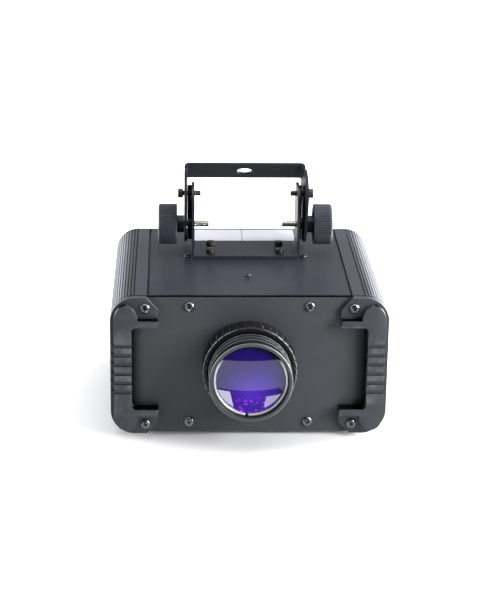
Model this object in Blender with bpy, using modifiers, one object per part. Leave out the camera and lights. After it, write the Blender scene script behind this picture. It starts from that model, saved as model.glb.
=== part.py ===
"""Water wave effect light: a small stage projector in a tilting yoke, as separate pieces.

Run with: blender --background --python part.py
Units are metres and +Z is up. The projector looks along -Y, and +X is to the right of someone
who faces its lens. Lengths along Y are counted from the front panel's face and heights from the
underside of the body. One parent empty then puts the middle of the whole on the Z axis and the
feet on z = 0.
"""
import math

import bmesh
import bpy
from mathutils import Matrix, Vector

# Clearances
GAP = 0.0003                    # between pieces that touch
SCREW_CLEARANCE = 0.0004        # round a screw's shank, on the radius
RUNNING_CLEARANCE = 0.0005      # between a turning or sliding piece and its seat

# Body
BODY_HALF_WIDTH = 0.1238
BODY_HEIGHT = 0.1292
BODY_DEPTH = 0.2045             # front panel's face to rear panel's face
BODY_CORNER_RADIUS = 0.022
PANEL_THICKNESS = 0.0020
SHEET_THICKNESS = 0.0015
SHEET_FLANGE = 0.0150           # turned-down ends of the cover and turned-up ends of the tray
SEAM_WIDTH = 0.0016             # open joint between the cover and a side profile
PROFILE_STRIP_WIDTH = 0.0106    # flat strip of a side profile between the seam and its round corner
COVER_HALF_WIDTH = BODY_HALF_WIDTH - BODY_CORNER_RADIUS - PROFILE_STRIP_WIDTH - SEAM_WIDTH

# Side profiles
PROFILE_WALL = 0.0024
PROFILE_INSET = 0.0003          # the profiles stand this far inside the front guards
LIP_WIDTH = 0.0072
LIP_THICKNESS = 0.0020
PORT_HALF_WIDTH = 0.0042        # square screw port behind each guard screw
RIB_PITCH = 0.00286
RIB_DEPTH = 0.0008
RIB_CREST = 0.0015
RIB_FLANK_SHARE = 0.2           # each sloping side of a groove, as a share of its width

# Front guards
GUARD_PAD_PROUD = 0.0052
GUARD_FACE_PROUD = 0.0125
GUARD_RIM_WIDTH = 0.0035        # low rim outside the raised bar
GUARD_BAR_WIDTH = 0.0157
GUARD_REACH = 0.0430            # from the body's side to the ends of the ledges
GUARD_BAR_OUTER = BODY_HALF_WIDTH - GUARD_RIM_WIDTH
GUARD_BAR_INNER = GUARD_BAR_OUTER - GUARD_BAR_WIDTH
GUARD_PAD_INNER = BODY_HALF_WIDTH - GUARD_REACH
GUARD_PAD_CHAMFER = 0.0104      # along the top edge
GUARD_PAD_CHAMFER_DROP = 0.0114 # down the inner edge
GUARD_LEDGE_TOP = 0.0194        # from the body's top edge
GUARD_LEDGE_BOTTOM = 0.0260
GUARD_INNER_FILLET = 0.0040
GUARD_STEP = 0.0002             # the raised face's edge inside the low plate's edge
GUARD_ARCH_HALF_WIDTH = 0.0105
GUARD_ARCH_RISE = 0.0135
GUARD_ARCH_STEPS = 10
GROOVE_COUNT = 6
GROOVE_PITCH = 0.00872
GROOVE_WIDTH = 0.0034
GROOVE_DEPTH = 0.0014

# Feet
FOOT_RADIUS = 0.0110
FOOT_BASE_RADIUS = 0.0095       # where it meets the floor
FOOT_EDGE = 0.0011              # height of its chamfer
FOOT_HEIGHT = 0.0040
FOOT_SIDE_DISTANCE = 0.0538     # foot centre from the body's side
FOOT_EDGE_DISTANCE = 0.0260     # foot centre from the front and rear panels

# Screws
SCREW_SHANK_RADIUS = 0.0017
SCREW_HEAD_RADIUS = 0.0045
SCREW_HEAD_HEIGHT = 0.0026
SCREW_LENGTH = 0.0080
HEAD_CROWN_SHARE = 0.6          # flat crown of a head, as a share of its radius
HEAD_RIM_SHARE = 0.4            # upright rim of a head, as a share of its height
PANEL_SCREW_INSET = 0.0361      # from the cover's side
GUARD_SCREW_INSET = 0.0311      # from the body's side
PANEL_SCREW_X = COVER_HALF_WIDTH - PANEL_SCREW_INSET
GUARD_SCREW_X = BODY_HALF_WIDTH - GUARD_SCREW_INSET
SCREW_EDGE_DISTANCE = 0.0097    # screw centre from the body's top and bottom edges
COVER_SCREW_Y = 0.0575
COVER_SCREW_HEAD_RADIUS = 0.0032
COVER_SCREW_HEAD_HEIGHT = 0.0018

# Lens
LENS_AXIS_HEIGHT = BODY_HEIGHT / 2
BARREL_RADIUS = 0.0368
BARREL_WALL = 0.0037
BARREL_BORE = BARREL_RADIUS - BARREL_WALL
BARREL_REACH = 0.0450           # front rim ahead of the front panel
BARREL_TAIL = 0.0080            # rear end behind the front panel's face
BARREL_RIDGE_PITCH = 0.0052
BARREL_RIDGE_HEIGHT = 0.0007
BARREL_SHOULDER_WIDTH = 0.0041  # the step that the lens sits on
BARREL_SHOULDER_BORE = BARREL_BORE - BARREL_SHOULDER_WIDTH
LENS_THICKNESS = 0.0110
LENS_EDGE = 0.0030
LENS_RECESS = 0.0042            # retaining ring's face behind the barrel's rim
RETAINING_WIDTH = 0.0019
RETAINING_THICKNESS = 0.0013
RETAINING_SPLIT = 5.0           # degrees of the ring that its gap takes
RETAINING_SPLIT_PLACE = -96.0   # degrees about the lens axis from +X
FOCUS_RING_WALL = 0.0046
FOCUS_RING_RADIUS = BARREL_RADIUS + RUNNING_CLEARANCE + FOCUS_RING_WALL
FOCUS_RING_REACH = 0.0195
FOCUS_TOOTH_COUNT = 36
FOCUS_TOOTH_DEPTH = 0.0021
FOCUS_TOOTH_SHARES = (0.56, 0.64, 0.92)    # crest's end, valley's start and end along a pitch
LENS_MOUNT_FLANGE_WIDTH = 0.0035
LENS_MOUNT_FLANGE = 0.0020
LENS_MOUNT_TUBE_WALL = 0.0016
LENS_MOUNT_LENGTH = 0.0180

# Yoke, saddle and their pivot
PIVOT_REAR_DISTANCE = 0.0765    # pivot ahead of the rear panel's face
PIVOT_Y = BODY_DEPTH - PIVOT_REAR_DISTANCE
PIVOT_RISE = 0.0280             # pivot above the top cover
YOKE_TILT = math.radians(-38.0) # at rest the yoke leans back
SADDLE_HALF_WIDTH = 0.0504
SPACER_WIDTH = 0.0045           # room for a spacer between an ear and an arm
YOKE_THICKNESS = 0.0025
YOKE_HALF_WIDTH = SADDLE_HALF_WIDTH + SPACER_WIDTH + YOKE_THICKNESS
YOKE_BEND_RADIUS = 0.0040
SHARPEST_INNER_BEND = 0.0005    # inside radius of a tight bend in sheet
YOKE_ARM_LENGTH = 0.0560        # pivot to the crossbar's outer face
YOKE_STRIP_WIDTH = 0.0310
YOKE_FAN_RADIUS = 0.0520
YOKE_FAN_CORNER = 0.0110
YOKE_FAN_ANGLE = math.radians(72.0)
YOKE_END_RADIUS = 0.0165
YOKE_HOLE_RADIUS = 0.0075
SLOT_HALF_ANGLE = math.radians(40.0)
LIMIT_BOLT_DISTANCE = 0.0300    # above the pivot
LIMIT_BOLT_RADIUS = 0.0025
LIMIT_HEAD_RADIUS = 0.0044
LIMIT_HEAD_HEIGHT = 0.0050
LIMIT_BOLT_REACH = 0.0083       # inside the saddle's ear
LIMIT_HEAD_GAP = 0.0012         # the yoke slides past under the heads
SADDLE_THICKNESS = 0.0024
SADDLE_BEND_RADIUS = 0.0030
SADDLE_DEPTH = 0.0420
SADDLE_EAR_RISE = 0.0385        # top of an ear above the pivot
SADDLE_EAR_RADIUS = 0.0140
SADDLE_RETURN_WIDTH = 0.0040
SADDLE_RETURN_BOTTOM = 0.0070   # above the top cover
SADDLE_RETURN_DROP = 0.0063     # below an ear's top
SADDLE_BOLT_INSET = 0.0179      # from the ear's outer face
SADDLE_BOLT_X = SADDLE_HALF_WIDTH - SADDLE_BOLT_INSET
SADDLE_BOLT_PITCH = 0.0240
SADDLE_BOLT_RADIUS = 0.0020
SADDLE_BOLT_HEAD_RADIUS = 0.0040
SADDLE_BOLT_HEAD_HEIGHT = 0.0042
SADDLE_BOLT_LENGTH = 0.0100
SPACER_RADIUS = 0.0055
STUD_RADIUS = 0.0030
STUD_REACH = 0.0161             # inside the ear's outer face
STUD_INNER_X = SADDLE_HALF_WIDTH - STUD_REACH
STUD_CHAMFER = 0.0008
KNOB_RADIUS = 0.0190
KNOB_STANDOFF = 0.0068          # between the yoke and the knob's grip
KNOB_LENGTH = 0.0178
KNOB_INNER_X = YOKE_HALF_WIDTH + KNOB_STANDOFF
KNOB_OUTER_X = KNOB_INNER_X + KNOB_LENGTH
KNOB_HUB_RADIUS = 0.0081
KNOB_RIDGE_COUNT = 30
KNOB_RIDGE_DEPTH = 0.0009
KNOB_RIDGE_SHARES = (0.45, 0.72, 0.72)     # crest's end, valley's start and end along a pitch
KNOB_EDGE_RADIUS = 0.0022
KNOB_HOLLOW_RADIUS = 0.0150
KNOB_HOLLOW_DEPTH = 0.0060
STUD_SOCKET_DEPTH = 0.0090      # the stud's length inside a knob

# Inside, from the fan forward
FAN_SIZE = 0.0800
FAN_THICKNESS = 0.0150
FAN_WALL = 0.0030               # thinnest part of its frame
FAN_CORNER_RADIUS = 0.0040
FAN_BORE_RADIUS = FAN_SIZE / 2 - FAN_WALL
FAN_HUB_RADIUS = 0.0150
FAN_BLADE_ROOT = 0.0120         # the blades start inside the hub
FAN_BLADE_COUNT = 7
FAN_BLADE_THICKNESS = 0.0012
FAN_BLADE_PITCH = math.radians(38.0)
FAN_REAR = BODY_DEPTH - PANEL_THICKNESS - GAP
HEAT_SINK_WIDTH = 0.0900
HEAT_SINK_HEIGHT = 0.0900
HEAT_SINK_BASE = 0.0060
HEAT_SINK_DEPTH = 0.0380
HEAT_SINK_FIN_COUNT = 11
HEAT_SINK_FIN_THICKNESS = 0.0020
HEAT_SINK_TO_FAN = 0.0067
LED_MODULE_SIZE = 0.0400
LED_MODULE_THICKNESS = 0.0022
LED_DOME_RADIUS = 0.0060
LED_Y = FAN_REAR - FAN_THICKNESS - HEAT_SINK_TO_FAN - HEAT_SINK_DEPTH - GAP - LED_MODULE_THICKNESS
BRACKET_TO_LED = 0.0430
BRACKET_Y = LED_Y - BRACKET_TO_LED
BRACKET_THICKNESS = 0.0020
BRACKET_HALF_WIDTH = 0.0640
BRACKET_FOOT_LENGTH = 0.0800
BRACKET_TOP_CLEARANCE = 0.0212  # under the top of the body
BRACKET_TOP = BODY_HEIGHT - BRACKET_TOP_CLEARANCE
BRACKET_BOTTOM = SHEET_THICKNESS + GAP
HEAT_SINK_STEP_WIDTH = 0.0500   # raised step of the bracket's foot, under the heat sink
HEAT_SINK_STEP_LENGTH = 0.0240
CONDENSER_RADIUS = 0.0165
CONDENSER_THICKNESS = 0.0110
CONDENSER_EDGE = 0.0030
CONDENSER_TUBE_WALL = 0.0015
CONDENSER_TUBE_LENGTH = 0.0330
WHEEL_AXLE_X = 0.0360
WHEEL_THICKNESS = 0.0020
WHEEL_RIM_WIDTH = 0.0020        # outside the colour apertures
COLOUR_APERTURE_COUNT = 6
COLOUR_APERTURE_RADIUS = 0.0100
WHEEL_RADIUS = WHEEL_AXLE_X + COLOUR_APERTURE_RADIUS + WHEEL_RIM_WIDTH
WHEEL_HUB_RADIUS = 0.0070
WHEEL_HUB_LENGTH = 0.0050
WHEEL_BORE = 0.0018
BRACKET_TO_WHEEL = 0.0090
WHEEL_PITCH = 0.0120            # between the two wheels
COLOUR_WHEEL_Y = BRACKET_Y - BRACKET_TO_WHEEL
RIPPLE_WHEEL_Y = COLOUR_WHEEL_Y - WHEEL_PITCH
MOTOR_RADIUS = 0.0150
MOTOR_LENGTH = 0.0200
MOTOR_SHAFT_RADIUS = 0.0015
PROFILE_INNER_X = BODY_HALF_WIDTH - PROFILE_INSET - PROFILE_WALL
POWER_SUPPLY_SIZE = (0.0260, 0.1000, 0.0900)
POWER_SUPPLY_X = PROFILE_INNER_X - GAP - POWER_SUPPLY_SIZE[0] / 2
POWER_SUPPLY_REAR_SPACE = 0.0445
POWER_SUPPLY_Y = BODY_DEPTH - POWER_SUPPLY_REAR_SPACE - POWER_SUPPLY_SIZE[1] / 2
BOARD_SIZE = (0.0016, 0.1100, 0.0850)
BOARD_PILLAR_LENGTH = 0.0080    # holds the board off the side profile
BOARD_PILLAR_RADIUS = 0.0030
BOARD_PILLAR_INSET = 0.0060     # from the board's edges
BOARD_X = PROFILE_INNER_X - GAP - BOARD_PILLAR_LENGTH - BOARD_SIZE[0] / 2
BOARD_REAR_SPACE = 0.0345
BOARD_Y = BODY_DEPTH - BOARD_REAR_SPACE - BOARD_SIZE[1] / 2
BOARD_CHIP_SIZE = (0.0070, 0.0300, 0.0200)

# Rear panel
GRILLE_RADIUS = 0.0360
GRILLE_RING_COUNT = 3
GRILLE_WEB = 0.0034             # metal between two rings of slots
GRILLE_SPOKE_ANGLE = math.radians(14.0)
REAR_CONTROL_INSET = 0.0438     # from the body's side
REAR_CONTROL_X = BODY_HALF_WIDTH - REAR_CONTROL_INSET
DISPLAY_SIZE = (0.0360, 0.0180)
DISPLAY_DROP = 0.0312           # from the body's top
DISPLAY_HEIGHT = BODY_HEIGHT - DISPLAY_DROP
DISPLAY_PROUD = 0.0012
DISPLAY_DEPTH = 0.0060
BUTTON_COUNT = 4
BUTTON_PITCH = 0.0120
BUTTON_RADIUS = 0.0036
BUTTON_FLANGE_RADIUS = 0.0047   # behind the panel, so that the button can't fall out
BUTTON_EDGE = 0.0005
BUTTON_DROP = 0.0240            # from the display's middle
BUTTON_HEIGHT = DISPLAY_HEIGHT - BUTTON_DROP
BUTTON_PROUD = 0.0022
BUTTON_DEPTH = 0.0050
INLET_SIZE = (0.0300, 0.0240)
INLET_HEIGHT = 0.0340
INLET_FLANGE = (0.0480, 0.0300)
INLET_DEPTH = 0.0220
INLET_CAVITY = (0.0240, 0.0170)
SOCKET_RADIUS = 0.0118
SOCKET_FLANGE = (0.0260, 0.0310)
SOCKET_DEPTH = 0.0200
SOCKET_WALL = 0.0030
SOCKET_CAVITY_RADIUS = SOCKET_RADIUS - SOCKET_WALL
SOCKET_IN_DROP = 0.0412         # from the body's top
SOCKET_IN_HEIGHT = BODY_HEIGHT - SOCKET_IN_DROP
SOCKET_OUT_HEIGHT = 0.0420
FLANGE_THICKNESS = 0.0025
CAVITY_FLOOR = 0.0030

# Where the shared frame's origin lies, from the body's own
REAR_REACH = GAP + FLANGE_THICKNESS
FRAME_Y = (BODY_DEPTH + REAR_REACH - BARREL_REACH) / 2

# Numbers of sides
FINE = 32
MEDIUM = 20
COARSE = 10

CORNER_STEPS = 6                # on a quarter turn of a panel's corner
FILLET_STEPS = 3

CUT_MARGIN = 0.0050             # a cutter's reach past the faces that it goes through
WELD_DISTANCE = 0.000001


def start_empty_scene():
    for obj in list(bpy.data.objects):
        bpy.data.objects.remove(obj, do_unlink=True)


def make_collection(name):
    collection = bpy.data.collections.new(name)
    bpy.context.scene.collection.children.link(collection)
    return collection


start_empty_scene()
PARTS = make_collection("water_wave_light")
CUTTERS = make_collection("cutters")


def make_frame():
    frame = bpy.data.objects.new("body_frame", None)
    frame.location = (0.0, -FRAME_Y, FOOT_HEIGHT)
    PARTS.objects.link(frame)
    return frame


FRAME = make_frame()


def material(name, colour, roughness, metallic=0.0, transmission=0.0):
    mat = bpy.data.materials.new(name)
    mat.use_nodes = True
    shader = mat.node_tree.nodes["Principled BSDF"]
    shader.inputs["Base Color"].default_value = (*colour, 1.0)
    shader.inputs["Roughness"].default_value = roughness
    shader.inputs["Metallic"].default_value = metallic
    shader.inputs["Transmission Weight"].default_value = transmission
    return mat


# Finishes: colour, roughness, metallic, transmission
FINISHES = {
    "powder_coat": ((0.045, 0.050, 0.058), 0.55, 0.0),
    "yoke_coat": ((0.020, 0.022, 0.028), 0.50, 0.0),
    "anodised": ((0.055, 0.058, 0.066), 0.40, 0.8),
    "guard_plastic": ((0.090, 0.096, 0.105), 0.50, 0.0),
    "black_plastic": ((0.012, 0.012, 0.014), 0.45, 0.0),
    "knob_plastic": ((0.035, 0.038, 0.045), 0.55, 0.0),
    "rubber": ((0.015, 0.015, 0.015), 0.85, 0.0),
    "black_screw": ((0.050, 0.050, 0.055), 0.30, 1.0),
    "bright_steel": ((0.620, 0.600, 0.560), 0.25, 1.0),
    "black_anodised": ((0.018, 0.018, 0.020), 0.35, 0.6),
    "aluminium": ((0.700, 0.710, 0.720), 0.35, 1.0),
    "violet_glass": ((0.180, 0.080, 0.700), 0.05, 0.0, 0.6),
    "clear_glass": ((0.900, 0.930, 0.950), 0.05, 0.0, 0.8),
    "circuit_board": ((0.030, 0.160, 0.060), 0.50, 0.0),
    "zinc_steel": ((0.520, 0.530, 0.540), 0.40, 0.9),
    "potting": ((0.030, 0.030, 0.034), 0.60, 0.0),
    "display_plastic": ((0.060, 0.006, 0.006), 0.15, 0.0),
}


def add_part(name, mesh, finish, location=(0.0, 0.0, 0.0), rotation=(0.0, 0.0, 0.0), parent=None):
    mesh.name = name
    part = bpy.data.objects.new(name, mesh)
    part.location = location
    part.rotation_euler = rotation
    part.parent = parent or FRAME
    mesh.materials.clear()
    mesh.materials.append(material(name + "_finish", *FINISHES[finish]))
    mesh.shade_smooth()
    mesh.set_sharp_from_angle(angle=math.radians(30.0))
    PARTS.objects.link(part)
    return part


def add_cutter(name, mesh, location=(0.0, 0.0, 0.0), rotation=(0.0, 0.0, 0.0), parent=None):
    cutter = bpy.data.objects.new(name, mesh)
    cutter.location = location
    cutter.rotation_euler = rotation
    cutter.parent = parent or FRAME
    cutter.hide_render = True
    cutter.display_type = "WIRE"
    CUTTERS.objects.link(cutter)
    return cutter


def combine(part, other, operation):
    boolean = part.modifiers.new(operation.lower(), "BOOLEAN")
    boolean.object = other
    boolean.operation = operation
    boolean.solver = "EXACT"
    return part


def mesh_from_bmesh(bm, name="shape"):
    mesh = bpy.data.meshes.new(name)
    bm.to_mesh(mesh)
    bm.free()
    return mesh


def boxes_mesh(corner_pairs):
    bm = bmesh.new()
    for low, high in corner_pairs:
        low = Vector(low)
        high = Vector(high)
        matrix = Matrix.Translation((low + high) / 2) @ Matrix.Diagonal((*(high - low), 1.0))
        bmesh.ops.create_cube(bm, size=1.0, matrix=matrix)
    return mesh_from_bmesh(bm)


def box_mesh(low, high):
    return boxes_mesh([(low, high)])


AXIS_TURN = {
    "X": Matrix.Rotation(math.pi / 2, 4, "Y"),
    "Y": Matrix.Rotation(math.pi / 2, 4, "X"),
    "Z": Matrix.Identity(4),
}


def rods_mesh(centres, radius, length, axis, segments=COARSE):
    """Equal round rods with their middles at the given centres."""
    bm = bmesh.new()
    for centre in centres:
        matrix = Matrix.Translation(centre) @ AXIS_TURN[axis]
        bmesh.ops.create_cone(bm, cap_ends=True, segments=segments, radius1=radius, radius2=radius,
                              depth=length, matrix=matrix)
    return mesh_from_bmesh(bm)


# An outline's flat axes, and where its third axis goes
OUTLINE_PLANE = {
    "XZ": Matrix.Rotation(math.pi / 2, 4, "X"),
    "YZ": Matrix(((0, 0, 1, 0), (1, 0, 0, 0), (0, 1, 0, 0), (0, 0, 0, 1))),
    "XY": Matrix.Identity(4),
}


def plate_mesh(loops, thickness, plane="XZ"):
    """A flat plate: the first loop is its edge and the others are holes."""
    curve = bpy.data.curves.new("outline", "CURVE")
    curve.dimensions = "2D"
    curve.fill_mode = "BOTH"
    curve.extrude = thickness / 2
    for loop in loops:
        spline = curve.splines.new("POLY")
        spline.points.add(len(loop) - 1)
        for point, (u, v) in zip(spline.points, loop):
            point.co = (u, v, 0.0, 1.0)
        spline.use_cyclic_u = True
    outline = bpy.data.objects.new("outline", curve)
    bpy.context.scene.collection.objects.link(outline)
    graph = bpy.context.evaluated_depsgraph_get()
    mesh = bpy.data.meshes.new_from_object(outline.evaluated_get(graph))
    bpy.data.objects.remove(outline, do_unlink=True)
    bpy.data.curves.remove(curve)
    bm = bmesh.new()
    bm.from_mesh(mesh)
    bmesh.ops.remove_doubles(bm, verts=bm.verts, dist=WELD_DISTANCE)
    bmesh.ops.recalc_face_normals(bm, faces=bm.faces)
    bmesh.ops.transform(bm, matrix=OUTLINE_PLANE[plane], verts=bm.verts)
    bm.to_mesh(mesh)
    bm.free()
    return mesh


def arc(centre_u, centre_v, radius, start, end, steps):
    """Points on a circle from the start angle to the end angle, both in degrees."""
    points = []
    for step in range(steps + 1):
        angle = math.radians(start + (end - start) * step / steps)
        points.append((centre_u + radius * math.cos(angle), centre_v + radius * math.sin(angle)))
    return points


def circle(centre_u, centre_v, radius, segments=COARSE):
    return arc(centre_u, centre_v, radius, 0.0, 360.0 * (segments - 1) / segments, segments - 1)


def rectangle(low_u, low_v, high_u, high_v):
    return [(low_u, low_v), (high_u, low_v), (high_u, high_v), (low_u, high_v)]


def rounded_rectangle(low_u, low_v, high_u, high_v, radius, steps=CORNER_STEPS):
    points = arc(high_u - radius, high_v - radius, radius, 0.0, 90.0, steps)
    points += arc(low_u + radius, high_v - radius, radius, 90.0, 180.0, steps)
    points += arc(low_u + radius, low_v + radius, radius, 180.0, 270.0, steps)
    points += arc(high_u - radius, low_v + radius, radius, 270.0, 360.0, steps)
    return points


def turned_mesh(profile, closed):
    """The half section of a turned piece, as (radius, height) points from the top down outside."""
    mesh = bpy.data.meshes.new("profile")
    count = len(profile)
    edges = [(i, i + 1) for i in range(count - 1)]
    if closed:
        edges.append((count - 1, 0))
    mesh.from_pydata([(radius, 0.0, height) for radius, height in profile], edges, [])
    return mesh


def turn(part, segments):
    screw = part.modifiers.new("turn", "SCREW")
    screw.axis = "Z"
    screw.angle = 2 * math.pi
    screw.steps = segments
    screw.render_steps = segments
    screw.use_merge_vertices = True
    screw.merge_threshold = WELD_DISTANCE
    screw.use_smooth_shade = True
    return part


# Turns that carry a turned piece's height onto an axis of the body
FORWARD = (math.pi / 2, 0.0, 0.0)
BACKWARD = (-math.pi / 2, 0.0, 0.0)
RIGHTWARD = (0.0, math.pi / 2, 0.0)
LEFTWARD = (0.0, -math.pi / 2, 0.0)
UPWARD = (0.0, 0.0, 0.0)

INNER_FRONT = PANEL_THICKNESS + GAP
INNER_REAR = BODY_DEPTH - PANEL_THICKNESS - GAP
SEAM_X = COVER_HALF_WIDTH + SEAM_WIDTH
MIDDLE_HEIGHT = BODY_HEIGHT / 2
PIVOT_Z = BODY_HEIGHT + PIVOT_RISE


def panel_screw_places(side_x):
    return [(side * side_x, height)
            for height in (SCREW_EDGE_DISTANCE, BODY_HEIGHT - SCREW_EDGE_DISTANCE)
            for side in (-1, 1)]


def saddle_bolt_places():
    return [(side * SADDLE_BOLT_X, PIVOT_Y + end * SADDLE_BOLT_PITCH / 2)
            for end in (-1, 1)
            for side in (-1, 1)]


def panel_outline():
    edge = BODY_HALF_WIDTH - PROFILE_INSET
    radius = BODY_CORNER_RADIUS - PROFILE_INSET
    return rounded_rectangle(-edge, 0.0, edge, BODY_HEIGHT, radius)


def screw_hole_loops(places):
    radius = SCREW_SHANK_RADIUS + SCREW_CLEARANCE
    return [circle(x, z, radius) for x, z in places]


def make_front_panel():
    loops = [panel_outline()]
    hole = BARREL_RADIUS + RUNNING_CLEARANCE + LENS_MOUNT_TUBE_WALL + GAP
    loops.append(circle(0.0, LENS_AXIS_HEIGHT, hole, FINE))
    loops += screw_hole_loops(panel_screw_places(PANEL_SCREW_X))
    loops += screw_hole_loops(panel_screw_places(GUARD_SCREW_X))
    mesh = plate_mesh(loops, PANEL_THICKNESS)
    add_part("front_panel", mesh, "powder_coat", location=(0.0, PANEL_THICKNESS / 2, 0.0))


def grille_loops():
    """Rings of curved slots over the fan, with spokes left between them."""
    loops = []
    band = GRILLE_RADIUS / (GRILLE_RING_COUNT + 0.5)
    for ring in range(GRILLE_RING_COUNT):
        outer = GRILLE_RADIUS - ring * band
        inner = outer - band + GRILLE_WEB
        for quarter in range(4):
            middle = math.radians(45.0 + 90.0 * quarter)
            spoke = GRILLE_SPOKE_ANGLE * GRILLE_RADIUS / outer / 2
            start = math.degrees(middle - math.pi / 4 + spoke)
            end = math.degrees(middle + math.pi / 4 - spoke)
            slot = arc(0.0, LENS_AXIS_HEIGHT, outer, start, end, 4)
            slot += arc(0.0, LENS_AXIS_HEIGHT, inner, end, start, 4)
            loops.append(slot)
    return loops


def button_places():
    first = -(BUTTON_COUNT - 1) * BUTTON_PITCH / 2
    return [-REAR_CONTROL_X + first + i * BUTTON_PITCH for i in range(BUTTON_COUNT)]


def centred_rectangle(x, z, size, margin=0.0):
    half_x = size[0] / 2 + margin
    half_z = size[1] / 2 + margin
    return rectangle(x - half_x, z - half_z, x + half_x, z + half_z)


def make_rear_panel():
    loops = [panel_outline()]
    loops += grille_loops()
    loops.append(centred_rectangle(-REAR_CONTROL_X, DISPLAY_HEIGHT, DISPLAY_SIZE, GAP))
    loops.append(centred_rectangle(-REAR_CONTROL_X, INLET_HEIGHT, INLET_SIZE, GAP))
    for x in button_places():
        loops.append(circle(x, BUTTON_HEIGHT, BUTTON_RADIUS + RUNNING_CLEARANCE))
    for height in (SOCKET_IN_HEIGHT, SOCKET_OUT_HEIGHT):
        loops.append(circle(REAR_CONTROL_X, height, SOCKET_RADIUS + GAP, MEDIUM))
    mesh = plate_mesh(loops, PANEL_THICKNESS)
    y = BODY_DEPTH - PANEL_THICKNESS / 2
    add_part("rear_panel", mesh, "powder_coat", location=(0.0, y, 0.0))


def folded_sheet_outline(outer_z, inward):
    """The side view of a sheet whose front and rear ends are folded inward."""
    end = outer_z + inward * SHEET_FLANGE
    inner = outer_z + inward * SHEET_THICKNESS
    return [(INNER_FRONT, outer_z), (INNER_REAR, outer_z), (INNER_REAR, end),
            (INNER_REAR - SHEET_THICKNESS, end), (INNER_REAR - SHEET_THICKNESS, inner),
            (INNER_FRONT + SHEET_THICKNESS, inner), (INNER_FRONT + SHEET_THICKNESS, end),
            (INNER_FRONT, end)]


def flange_holes(name, height):
    radius = SCREW_SHANK_RADIUS + SCREW_CLEARANCE
    y = INNER_FRONT + SHEET_THICKNESS / 2
    centres = [(side * PANEL_SCREW_X, y, height) for side in (-1, 1)]
    return add_cutter(name, rods_mesh(centres, radius, SHEET_THICKNESS + 2 * CUT_MARGIN, "Y"))


def flange_relief(name, outer_z, inward):
    """Boxes that end the folded flanges short of the side profiles' lips."""
    inner = outer_z + inward * SHEET_THICKNESS
    end = outer_z + inward * (SHEET_FLANGE + CUT_MARGIN)
    near = SEAM_X - LIP_WIDTH - GAP
    far = COVER_HALF_WIDTH + CUT_MARGIN
    front = INNER_FRONT - CUT_MARGIN
    rear = INNER_REAR + CUT_MARGIN
    boxes = []
    for low_x, high_x in ((-far, -near), (near, far)):
        boxes.append(((low_x, front, min(inner, end)), (high_x, rear, max(inner, end))))
    return add_cutter(name, boxes_mesh(boxes))


def make_top_cover():
    mesh = plate_mesh([folded_sheet_outline(BODY_HEIGHT, -1)], 2 * COVER_HALF_WIDTH, "YZ")
    cover = add_part("top_cover", mesh, "powder_coat")
    combine(cover, flange_relief("cover_relief", BODY_HEIGHT, -1), "DIFFERENCE")
    combine(cover, flange_holes("cover_flange_holes", BODY_HEIGHT - SCREW_EDGE_DISTANCE), "DIFFERENCE")
    radius = SADDLE_BOLT_RADIUS + SCREW_CLEARANCE
    places = saddle_bolt_places() + [(0.0, COVER_SCREW_Y)]
    centres = [(x, y, BODY_HEIGHT - SHEET_THICKNESS / 2) for x, y in places]
    holes = rods_mesh(centres, radius, SHEET_THICKNESS + 2 * CUT_MARGIN, "Z")
    combine(cover, add_cutter("cover_holes", holes), "DIFFERENCE")


def make_base_tray():
    mesh = plate_mesh([folded_sheet_outline(0.0, 1)], 2 * COVER_HALF_WIDTH, "YZ")
    tray = add_part("base_tray", mesh, "powder_coat")
    combine(tray, flange_relief("tray_relief", 0.0, 1), "DIFFERENCE")
    combine(tray, flange_holes("tray_flange_holes", SCREW_EDGE_DISTANCE), "DIFFERENCE")


def profile_path_point(distance, offset):
    """A point on the profile's outer face, by its distance along the ribbed part of the face."""
    edge = BODY_HALF_WIDTH - PROFILE_INSET
    radius = BODY_CORNER_RADIUS - PROFILE_INSET
    corner_length = radius * math.pi / 2
    straight = BODY_HEIGHT - 2 * radius
    reach = radius + offset
    if distance < corner_length:
        angle = math.pi / 2 - distance / radius
        return (edge - radius + reach * math.cos(angle), BODY_HEIGHT - radius + reach * math.sin(angle))
    if distance < corner_length + straight:
        return (edge + offset, BODY_HEIGHT - radius - (distance - corner_length))
    angle = -(distance - corner_length - straight) / radius
    return (edge - radius + reach * math.cos(angle), radius + reach * math.sin(angle))


def ribbed_face():
    radius = BODY_CORNER_RADIUS - PROFILE_INSET
    length = radius * math.pi + BODY_HEIGHT - 2 * radius
    count = int(length / RIB_PITCH)
    pitch = length / count
    groove = pitch - RIB_CREST
    points = []
    for rib in range(count):
        start = rib * pitch
        points.append(profile_path_point(start, 0.0))
        points.append(profile_path_point(start + groove * RIB_FLANK_SHARE, -RIB_DEPTH))
        points.append(profile_path_point(start + groove * (1.0 - RIB_FLANK_SHARE), -RIB_DEPTH))
        points.append(profile_path_point(start + groove, 0.0))
    points.append(profile_path_point(length, 0.0))
    return points


def profile_inner_face():
    radius = BODY_CORNER_RADIUS - PROFILE_INSET - PROFILE_WALL
    edge = BODY_HALF_WIDTH - PROFILE_INSET - PROFILE_WALL
    lower = arc(edge - radius, radius + PROFILE_WALL, radius, -90.0, 0.0, CORNER_STEPS)
    upper = arc(edge - radius, BODY_HEIGHT - radius - PROFILE_WALL, radius, 0.0, 90.0, CORNER_STEPS)
    return lower + upper


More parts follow.
